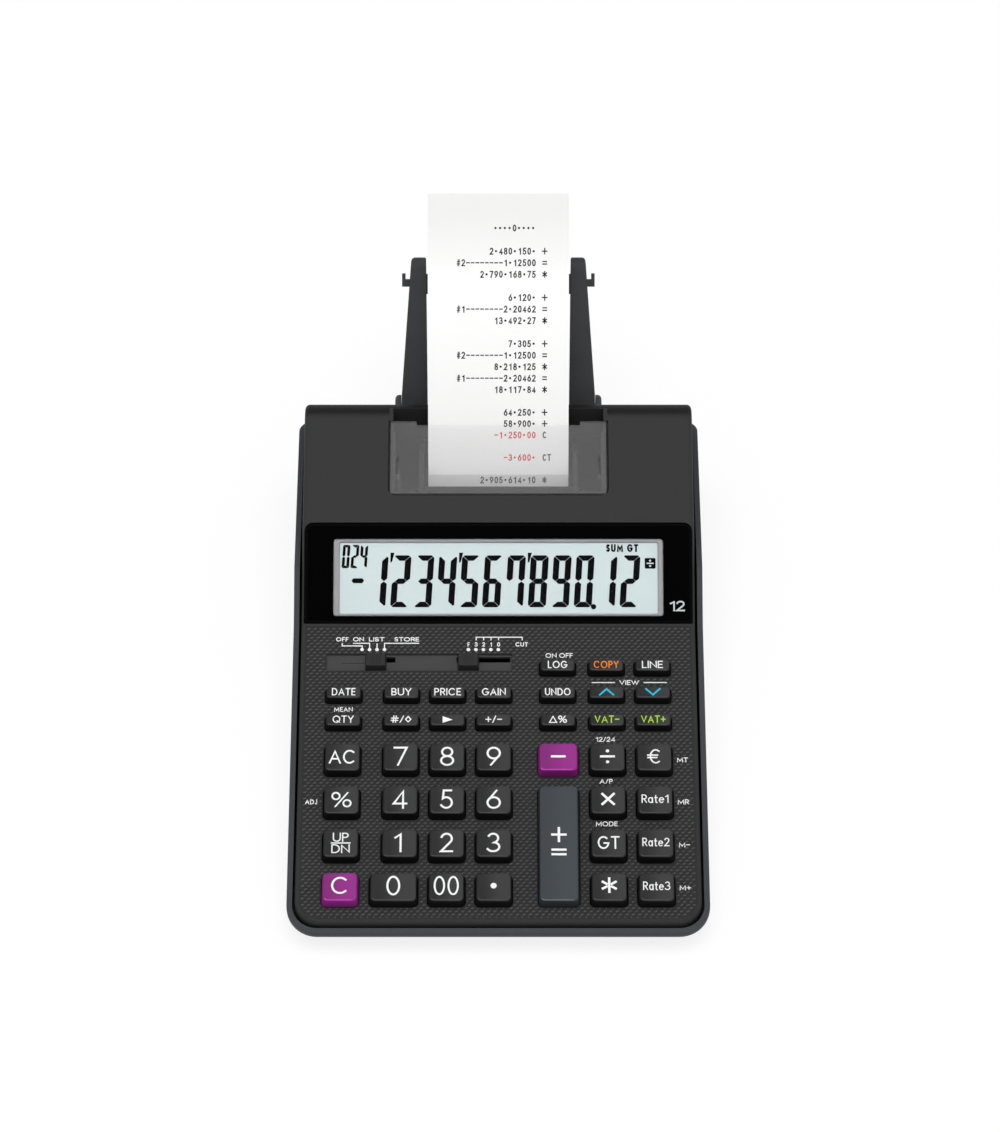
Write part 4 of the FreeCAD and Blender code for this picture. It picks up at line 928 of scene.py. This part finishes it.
markStyle = {"levels": (-0.02, 0.04), "over": (-0.01, 0.02), "tickDigits": (11, 8, 5), "tickShift": 0.35,
             "tick": [(0.3, 18.3), (1.0, 18.7), (2.0, 22.5), (0.35, 22.5)], "point": (0.75, 0.2, 1.1),
             "minus": [(-59.4, 18.7), (-58.6, 17.7), (-55.0, 17.7), (-54.2, 18.7), (-55.0, 19.7),
                       (-58.6, 19.7)],
             "words": ("SUM GT", 3.2, (50.0, 32.2), 12.8, 0.74), "box": (61.4, 25.9), "boxHalf": (2.2, 2.2),
             "boxCorner": 0.5, "bar": (1.4, 0.52), "dots": (1.08, 0.42)}


def displayMarks(pane):  # figures on the pane, with a small sign in a box at the right
    style, cell, place = markStyle, digitCell, onSlope(display)
    levels = [pane + shift for shift in style["levels"]]
    over = [levels[1] + shift for shift in style["over"]]
    marks = Shape()
    digitMarks(marks, digitCell, levels, place)
    digitMarks(marks, counterCell, levels, place)
    lean = segmentStyle["slant"] * cell["height"]
    for digit in style["tickDigits"]:
        left = cell["right"] + lean - cell["pitch"] * digit + style["tickShift"]
        marks.plate([(left + x, cell["base"] + y) for x, y in style["tick"]], levels, place)
    x, y, radius = style["point"]
    marks.disc((cell["right"] - 2 * cell["pitch"] + x, cell["base"] + y), radius, levels, place)
    marks.plate(style["minus"], levels, place)
    text, height, spot, width, weight = style["words"]
    marks.word(text, height, spot, levels, place, 0, width, weight)
    (x, y), (reach, width), (rise, radius) = style["box"], style["bar"], style["dots"]
    box = roundedRing((x, y), style["boxHalf"], style["boxCorner"], 0)
    marks.plate([point[:2] for point in box], levels, place)
    marks.stroke([(x - reach, y), (x + reach, y)], width, over, place, 1)
    for side in (-1, 1):
        marks.disc((x, y + side * rise), radius, over, place, 1)
    marks.piece("lcd_marks", "body", [segmentFinish, plastics["paneGlass"]], "lcd_panel")


displayLens()
displayMarks(displayModule())
print("display ready")


# Paper: printed strip from the feed roller, and the web from the roll

paperStyle = {"width": 57.5, "lean": 52.0, "curl": 350.0, "out": 95.3, "inside": 29.0, "clearance": 0.4,
              "thickness": 0.2, "wrapSteps": 14, "outSteps": 36, "webSteps": 24}
feedAxis = Vector(joints["feed_roller_spin"]["pos_m"]).yz / mm
rollAxis = Vector(joints["paper_roll_spin"]["pos_m"]).yz / mm
rollRadius = (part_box("paper_roll")[1].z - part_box("paper_roll")[0].z) / 2 / mm
feedRadius = (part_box("feed_roller")[1].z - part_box("feed_roller")[0].z) / 2 / mm


def polar(center, angle, radius):
    return center + Vector((math.cos(angle), math.sin(angle))) * radius


leanAngle = math.radians(paperStyle["lean"])
faceAngle = leanAngle + math.pi / 2
wrapRadius = feedRadius + paperStyle["clearance"]
windRadius = rollRadius + paperStyle["clearance"]
leavePoint = polar(feedAxis, faceAngle, wrapRadius)
tearPoint = polar(leavePoint, leanAngle, paperStyle["inside"])
curlCenter = polar(tearPoint, faceAngle, -paperStyle["curl"])
feedToRoll = feedAxis - rollAxis
webAngle = math.atan2(feedToRoll.y, feedToRoll.x) + math.acos((windRadius - wrapRadius) / feedToRoll.length)
webAngle += 2 * math.pi if webAngle < 0 else 0
wrapLength = wrapRadius * (webAngle - faceAngle)


def paperPoint(x, travel, lift=0.0):  # travel runs from the tear edge, lift off the printed face
    if travel >= 0:
        angle = faceAngle - travel / paperStyle["curl"]
        spot = polar(curlCenter, angle, paperStyle["curl"] + lift)
    elif travel > -paperStyle["inside"]:
        spot = polar(polar(tearPoint, leanAngle, travel), faceAngle, lift)
    else:
        angle = faceAngle - (travel + paperStyle["inside"]) / wrapRadius
        spot = polar(feedAxis, angle, wrapRadius + lift)
    return Vector((x, spot.x, spot.y)) * mm


def sheetShape(stations, place):  # closed thin sheet, place gives a point from x, station and lift
    half, thick = paperStyle["width"] / 2, paperStyle["thickness"] / 2
    section = ((-half, -thick), (half, -thick), (half, thick), (-half, thick))
    rings = [[place(x, station, lift) for x, lift in section] for station in stations]
    shape = Shape()
    shape.loft(rings, lambda point: point, smooth=False)
    return shape


receiptStyle = {"top": 81.26, "pitch": 4.71, "step": 1.92, "height": 2.85, "right": 14.5, "signs": 18.9,
                "zeros": 6.6, "wide": 1.5, "weight": 0.48, "thin": 0.68, "dot": 0.46, "dotShift": 0.1,
                "levels": (0.08, 0.13), "sign": 1.3}
receipt = {2: ("2·480·150·", "+"), 3: ("#2--------1·12500", "="), 4: ("2·790·168·75", "*"),
           6: ("6·120·", "+"), 7: ("#1--------2·20462", "="), 8: ("13·492·27", "*"),
           10: ("7·305·", "+"), 11: ("#2--------1·12500", "="), 12: ("8·218·125", "*"),
           13: ("#1--------2·20462", "="), 14: ("18·117·84", "*"), 16: ("64·250·", "+"),
           17: ("58·900·", "+"), 18: ("-1·250·00", "C"), 20: ("-3·600·", "CT"),
           22: ("2·905·614·10", "*"), 23: ("1·200·000·", "")}
redRows = (18, 20)


def printGlyph(shape, glyph, x, travel, finish):
    style = receiptStyle

    def place(point):
        return paperPoint(*point)

    if glyph == "·":
        shape.disc((x - style["dotShift"], travel), style["dot"], style["levels"], place, finish)
    else:
        wide = None if glyph in "1*+=" else style["wide"]
        weight = style["weight"] * (style["thin"] if glyph == "#" else 1.0)
        height = style["height"] * (style["sign"] if glyph in "*+=" else 1.0)
        shape.word(glyph, height, (x, travel), style["levels"], place, finish, wide, weight)


def printedStrip():
    style = paperStyle
    wraps, outs = style["wrapSteps"], style["outSteps"]
    steps = [-style["inside"] - wrapLength + wrapLength * step / wraps for step in range(wraps)]
    steps += [-style["inside"], -style["inside"] / 2]
    steps += [style["out"] * step / outs for step in range(outs + 1)]
    shape = sheetShape(steps, paperPoint)
    for row, (number, sign) in receipt.items():
        travel = receiptStyle["top"] - receiptStyle["pitch"] * row
        finish = 2 if row in redRows else 1
        for index, glyph in enumerate(reversed(number)):
            printGlyph(shape, glyph, receiptStyle["right"] - receiptStyle["step"] * index, travel, finish)
        for index, glyph in enumerate(sign):
            printGlyph(shape, glyph, receiptStyle["signs"] + receiptStyle["step"] * index, travel, 1)
    for index in range(-4, 5):
        glyph = "·" if index else "0"
        printGlyph(shape, glyph, receiptStyle["zeros"] + receiptStyle["step"] * index, receiptStyle["top"], 1)
    looks = [paperFinish, inks["black"], inks["red"]]
    strip = shape.piece("printed_strip", "body", looks, "paper", ["paper_strip"])


def paperWeb():
    feedEnd, rollEnd = polar(feedAxis, webAngle, wrapRadius), polar(rollAxis, webAngle, windRadius)
    count = paperStyle["webSteps"]

    def place(x, share, lift):
        spot = polar(feedEnd.lerp(rollEnd, share), webAngle, lift)
        return Vector((x, spot.x, spot.y)) * mm

    shape = sheetShape([step / count for step in range(count + 1)], place)
    web = shape.piece("paper_web", None, [paperFinish], "paper")
    tuple(place(0, 0.34, 0))
    tuple(place(0, 0.62, 0))
    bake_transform(web)


shadeStripStyle = {"half": 30.4, "low": -27.6, "high": -20.0, "lift": (0.5, 0.9)}


def paperShadeStrip():  # see-through grey strip in front of the paper, between the side plates of the printer: painted shade across the paper where it runs into the printer
    shape = Shape()
    half, low, high = shadeStripStyle["half"], shadeStripStyle["low"], shadeStripStyle["high"]
    outline = [(-half, low), (half, low), (half, high), (-half, high)]
    shape.plate(outline, shadeStripStyle["lift"], lambda point: paperPoint(*point))
    shape.piece("paper_guide", "body", [shadeStripFinish], "smoke_plastic")


printedStrip()
paperShadeStrip()
paperWeb()
print("paper ready")


# Repeats set out by Geometry Nodes: copies of an object on points

class CopyTree:
    def __init__(self, name, material, sizes):
        self.tree = bpy.data.node_groups.new(name, "GeometryNodeTree")
        self.inputs = {}
        for label, kind in {"Places": "Geometry", "Copy": "Object", **sizes}.items():
            socket = self.tree.interface.new_socket(label, in_out="INPUT", socket_type="NodeSocket" + kind)
            self.inputs[label] = socket.identifier
        self.tree.interface.new_socket("Copies", in_out="OUTPUT", socket_type="NodeSocketGeometry")
        self.source, self.copies = self.node("NodeGroupInput"), self.node("GeometryNodeInstanceOnPoints")
        copied, realize = self.node("GeometryNodeObjectInfo"), self.node("GeometryNodeRealizeInstances")
        paint = self.node("GeometryNodeSetMaterial")
        paint.inputs["Material"].default_value = material
        self.link(self.source.outputs["Places"], self.copies.inputs["Points"])
        self.link(self.source.outputs["Copy"], copied.inputs["Object"])
        self.link(copied.outputs["Geometry"], self.copies.inputs["Instance"])
        self.link(self.copies.outputs[0], realize.inputs[0])
        self.link(realize.outputs[0], paint.inputs["Geometry"])
        self.link(paint.outputs[0], self.node("NodeGroupOutput").inputs[0])

    def node(self, kind):
        return self.tree.nodes.new(kind)

    def link(self, output, socket):
        self.tree.links.new(output, socket)

    def setOut(self, name, places, sizes, body):  # the copies become one plain mesh
        holder = bpy.data.objects.new(name, places)
        scene.collection.objects.link(holder)
        modifier = holder.modifiers.new(name, "NODES")
        modifier.node_group = self.tree
        for label, value in sizes.items():
            modifier[self.inputs[label]] = value
        graph = bpy.context.evaluated_depsgraph_get()
        mesh = bpy.data.meshes.new_from_object(holder.evaluated_get(graph))
        holder.modifiers.remove(modifier)
        holder.data = mesh
        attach(holder, body)


# Case screws in the recesses of the underside

screwStyle = {"radius": 2.1, "height": 1.5, "steps": 24, "cross": 0.42, "reach": 1.25, "depth": 0.7,
              "floor": 0.7, "profile": ((1.0, 1.0), (1.0, 0.45), (0.9, 0.15), (0.68, 0.0)), "side": 5.9,
              "front": 17.0, "middle": 118.58, "rear": 11.0, "level": 4.0, "seed": 4}


def screwHead():
    mesh = bmesh.new()
    count = screwStyle["steps"]
    turns = [2 * math.pi * step / count for step in range(count)]
    rings = []
    for wide, tall in screwStyle["profile"]:
        radius, level = screwStyle["radius"] * wide, screwStyle["height"] * tall
        spots = [(radius * math.cos(turn), radius * math.sin(turn), level) for turn in turns]
        rings.append([mesh.verts.new(spot) for spot in spots])
    for low, high in zip(rings, rings[1:]):
        for step in range(count):
            after = (step + 1) % count
            mesh.faces.new((low[after], low[step], high[step], high[after]))
    mesh.faces.new(rings[0])
    slot, reach = screwStyle["cross"], screwStyle["reach"]
    cross = [(reach, -slot), (reach, slot), (slot, slot), (slot, reach), (-slot, reach), (-slot, slot),
             (-reach, slot), (-reach, -slot), (-slot, -slot), (-slot, -reach), (slot, -reach), (slot, -slot)]
    mouth = [mesh.verts.new((x, y, 0.0)) for x, y in cross]
    narrow = screwStyle["floor"]
    floor = [mesh.verts.new((x * narrow, y * narrow, screwStyle["depth"])) for x, y in cross]
    for step in range(len(cross)):
        after = (step + 1) % len(cross)
        mesh.faces.new((mouth[after], mouth[step], floor[step], floor[after]))
    mesh.faces.new(floor)
    edges = [mesh.edges.get((rings[-1][step], rings[-1][(step + 1) % count])) for step in range(count)]
    edges += [mesh.edges.get((mouth[step], mouth[(step + 1) % len(mouth)])) for step in range(len(mouth))]
    bmesh.ops.triangle_fill(mesh, edges=edges, use_beauty=True)
    bmesh.ops.recalc_face_normals(mesh, faces=mesh.faces)
    data = bpy.data.meshes.new("screwHead")
    mesh.to_mesh(data)
    mesh.free()
    data.transform(Matrix.Scale(mm, 4))
    return bpy.data.objects.new("screwHead", data)


def caseScrews():
    style = screwStyle
    places = bpy.data.meshes.new("screwPlaces")
    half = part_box("top_cover")[1].x / mm - style["side"]
    front, rear = frontY / mm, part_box("top_cover")[1].y / mm
    run = fieldNormal.z  # bosses are set out along the slope
    rows = (front + style["front"] * run, front + style["middle"] * run, rear - style["rear"])
    spots = [Vector((side * half, y, style["level"])) * mm for y in rows for side in (-1, 1)]
    places.from_pydata(spots, [], [])
    tree = CopyTree("caseScrews", screwFinish, {"Turn seed": "Int"})
    turn, spin = tree.node("FunctionNodeRandomValue"), tree.node("ShaderNodeCombineXYZ")
    turn.data_type = "FLOAT"
    turn.inputs[3].default_value = math.pi
    tree.link(tree.source.outputs["Turn seed"], turn.inputs["Seed"])
    tree.link(turn.outputs[1], spin.inputs["Z"])
    tree.link(spin.outputs[0], tree.copies.inputs["Rotation"])
    sizes = {"Copy": screwHead(), "Turn seed": style["seed"]}
    tree.setOut("case_screws", places, sizes, "body")


caseScrews()
print("screws set")


# Emboss of the key field: rows of short leaning ridges, each row half a pitch aside

embossStyle = {"pitch": 2.5, "row": 1.37, "length": 1.6, "width": 0.74, "lean": 24.0, "height": 0.15,
               "sink": 0.05, "crown": (0.7, 0.36), "margin": 0.02, "shortest": 0.5, "steps": 9,
               "facing": 0.9999}


def flatField():  # flat face of the panel with its holes, in the field's own millimetres
    data = nodes["top_cover"].data
    flat = [tuple(face.vertices) for face in data.polygons
            if face.normal.dot(fieldNormal) > embossStyle["facing"]
            and abs(face.center.dot(fieldNormal) - fieldLevel) < coverLook["flat"] * mm]
    back = field.inverted()
    return BVHTree.FromPolygons([back @ vertex.co for vertex in data.vertices], flat)


def ridgePlaces():  # ridges are cut short at holes and edges
    style = embossStyle
    panel, down = flatField(), Vector((0, 0, -1))
    low, high = localBox("top_cover", field)
    along = Vector((math.cos(math.radians(style["lean"])), math.sin(math.radians(style["lean"])), 0))
    aside = Vector((-along.y, along.x, 0)) * (style["width"] / 2 + style["margin"])
    shares = [step / (style["steps"] - 1) - 0.5 for step in range(style["steps"])]
    middles, spans = [], []
    for row in range(int(high.y / style["row"])):
        for column in range(int(low.x / style["pitch"]), int(high.x / style["pitch"]) + 1):
            middle = Vector(((column + row % 2 * 0.5) * style["pitch"], (row + 0.5) * style["row"], 1.0))
            clear = []
            for share in shares:
                spot = middle + along * share * style["length"]
                if all(panel.ray_cast(spot + side, down)[0] for side in (aside, -aside)):
                    clear.append(share)
            span = (clear[-1] - clear[0]) * style["length"] if clear else 0.0
            if span > style["shortest"]:
                middle += along * (clear[0] + clear[-1]) / 2 * style["length"]
                middles.append(field @ Vector((middle.x, middle.y, 0)))
                spans.append(span * mm)
    return middles, spans


def unitRidge():
    outline = [(-0.5, -0.2), (-0.3, -0.5), (0.3, -0.5), (0.5, -0.2),
               (0.5, 0.2), (0.3, 0.5), (-0.3, 0.5), (-0.5, 0.2)]
    shape = Shape()
    sunk = -embossStyle["sink"] / embossStyle["height"]
    shape.loft([[(x * grow, y * slim, level) for x, y in outline] for grow, slim, level in (
        (1.0, 1.0, sunk), (*embossStyle["crown"], 1.0))], Vector)
    mesh = bpy.data.meshes.new("unitRidge")
    mesh.from_pydata(shape.points, [], shape.faces)
    mesh.polygons.foreach_set("use_smooth", shape.smooth)
    return bpy.data.objects.new("unitRidge", mesh)


def embossedField():
    style = embossStyle
    middles, spans = ridgePlaces()
    places = bpy.data.meshes.new("ridgePlaces")
    places.from_pydata(middles, [], [])
    places.attributes.new("span", "FLOAT", "POINT").data.foreach_set("value", spans)
    tree = CopyTree("embossedField", plastics["ridgeHighlightPlastic"], {"Width": "Float", "Height": "Float"})
    span, size = tree.node("GeometryNodeInputNamedAttribute"), tree.node("ShaderNodeCombineXYZ")
    span.data_type = "FLOAT"
    span.inputs["Name"].default_value = "span"
    for output, axis in ((span.outputs[0], "X"), (tree.source.outputs["Width"], "Y"),
                         (tree.source.outputs["Height"], "Z")):
        tree.link(output, size.inputs[axis])
    tree.link(size.outputs[0], tree.copies.inputs["Scale"])
    lean = Euler((0, 0, math.radians(style["lean"]))).to_matrix()
    tree.copies.inputs["Rotation"].default_value = (field.to_3x3().normalized() @ lean).to_euler()
    sizes = {"Copy": unitRidge(), "Width": style["width"] * mm, "Height": style["height"] * mm}
    tree.setOut("field_emboss", places, sizes, "body")
    print("ridges on the key field:", len(spans))


embossedField()


# Finishes of the pieces that keep their own shape

nodeFinish = {"top_cover": coverFinish, "printer_cover": smokeFinish, "paper_roll": rollFinish,
              "circuit_board": boardFinish}
nodePlastic = {"bottom_case": "casePlastic", "battery_door": "casePlastic", "paper_arm_left": "armPlastic",
               "paper_arm_right": "armPlastic", "rubber_feet": "footRubber", "power_switch": "knobPlastic",
               "decimal_switch": "knobPlastic", "feed_roller": "rollerRubber", "batteries": "cellSleeve",
               "printer_frame": "mechanismBlack"}
nodeFinish.update((nodeName, plastics[name]) for nodeName, name in nodePlastic.items())
for nodeName, material in nodeFinish.items():
    data = nodes[nodeName].data
    data.materials.clear()
    data.materials.append(material)
print("node finishes:", len(nodeFinish))


# Floor, light and camera

stageStyle = {"color": (0.86, 0.86, 0.86), "roughness": 0.9, "specular": 0.0, "glow": 0.8, "strength": 1.03,
              "size": 6.0}
white = (1.0, 1.0, 1.0, 1.0)
lightRig = [
    {"name": "overheadBox", "place": (0.0, -0.1, 1.7), "size": (1.3, 1.0), "power": 18.2},
    {"name": "frontFill", "place": (0.0, -1.6, 1.0), "size": (1.6, 0.7), "power": 5.0},
    {"name": "leftFill", "place": (-1.5, 0.1, 0.9), "size": (0.8, 1.2), "power": 4.5},
    {"name": "rightFill", "place": (1.5, 0.1, 0.9), "size": (0.8, 1.2), "power": 4.5},
]
lightAim = (0, 0, 0.03)
worldLight = {"strength": 0.36}
cameraStyle = {"target": (0.0, -38.06, 30.0), "distance": 1800.0, "rise": 52.5, "aimUp": 1.296, "aside": 0.68,
               "lens": 142.86, "sensor": 36.0}


def backgroundRays(tree):  # rays that meet the pale background
    outputs = tree.nodes.new("ShaderNodeLightPath").outputs
    kinds = ("Camera", "Glossy", "Transmission")
    camera, glossy, through = (Value(tree, outputs[f"Is {kind} Ray"]) for kind in kinds)
    return camera.atLeast(glossy.atLeast(through))


def paleFloor():
    size = stageStyle["size"]
    mesh = bpy.data.meshes.new("floor")
    corners = [(-size, -size, 0), (size, -size, 0), (size, size, 0), (-size, size, 0)]
    mesh.from_pydata(corners, [], [(0, 1, 2, 3)])
    floor = bpy.data.objects.new("floor", mesh)
    scene.collection.objects.link(floor)
    finish = Finish("paleFloor", stageStyle)
    light = finish.node("Emission", None, {"Color": white, "Strength": stageStyle["strength"]})
    share = backgroundRays(finish.tree) * stageStyle["glow"]
    plain = Value(finish.tree, finish.shader.outputs[0])
    mixed = finish.node("MixShader", None, {0: share, 1: plain, 2: light})
    finish.tree.links.new(mixed.socket, finish.tree.nodes["Material Output"].inputs["Surface"])
    mesh.materials.append(finish.material)


def studioWorld():
    world = bpy.data.worlds.new("studio")
    world.use_nodes = True
    tree = world.node_tree
    background = tree.nodes["Background"]
    strength = backgroundRays(tree) * (1 - worldLight["strength"]) + worldLight["strength"]
    plug(tree, strength, background.inputs["Strength"])
    background.inputs["Color"].default_value = white
    scene.world = world


def softLights():
    for lamp in lightRig:
        light = bpy.data.lights.new(lamp["name"], "AREA")
        light.shape = "RECTANGLE"
        light.size, light.size_y = lamp["size"]
        light.energy = lamp["power"]
        holder = bpy.data.objects.new(lamp["name"], light)
        holder.location = lamp["place"]
        holder.rotation_euler = (Vector(lightAim) - holder.location).to_track_quat("-Z", "Y").to_euler()
        scene.collection.objects.link(holder)


def photoCamera():
    style = cameraStyle
    rise, look = math.radians(style["rise"]), math.radians(style["rise"] - style["aimUp"])
    target = Vector(style["target"]) * mm
    back = Vector((0, -math.cos(rise), math.sin(rise))) * style["distance"] * mm
    camera = bpy.data.objects.new("camera", bpy.data.cameras.new("camera"))
    camera.data.sensor_width = style["sensor"]
    camera.data.lens = style["lens"]
    camera.location = target + back + Vector((style["aside"] * mm, 0, 0))
    camera.rotation_euler = (math.pi / 2 - look, 0, 0)
    scene.collection.objects.link(camera)
    scene.camera = camera


paleFloor()
studioWorld()
softLights()
photoCamera()
scene.view_settings.view_transform = "Standard"
print("stage, light and camera ready")
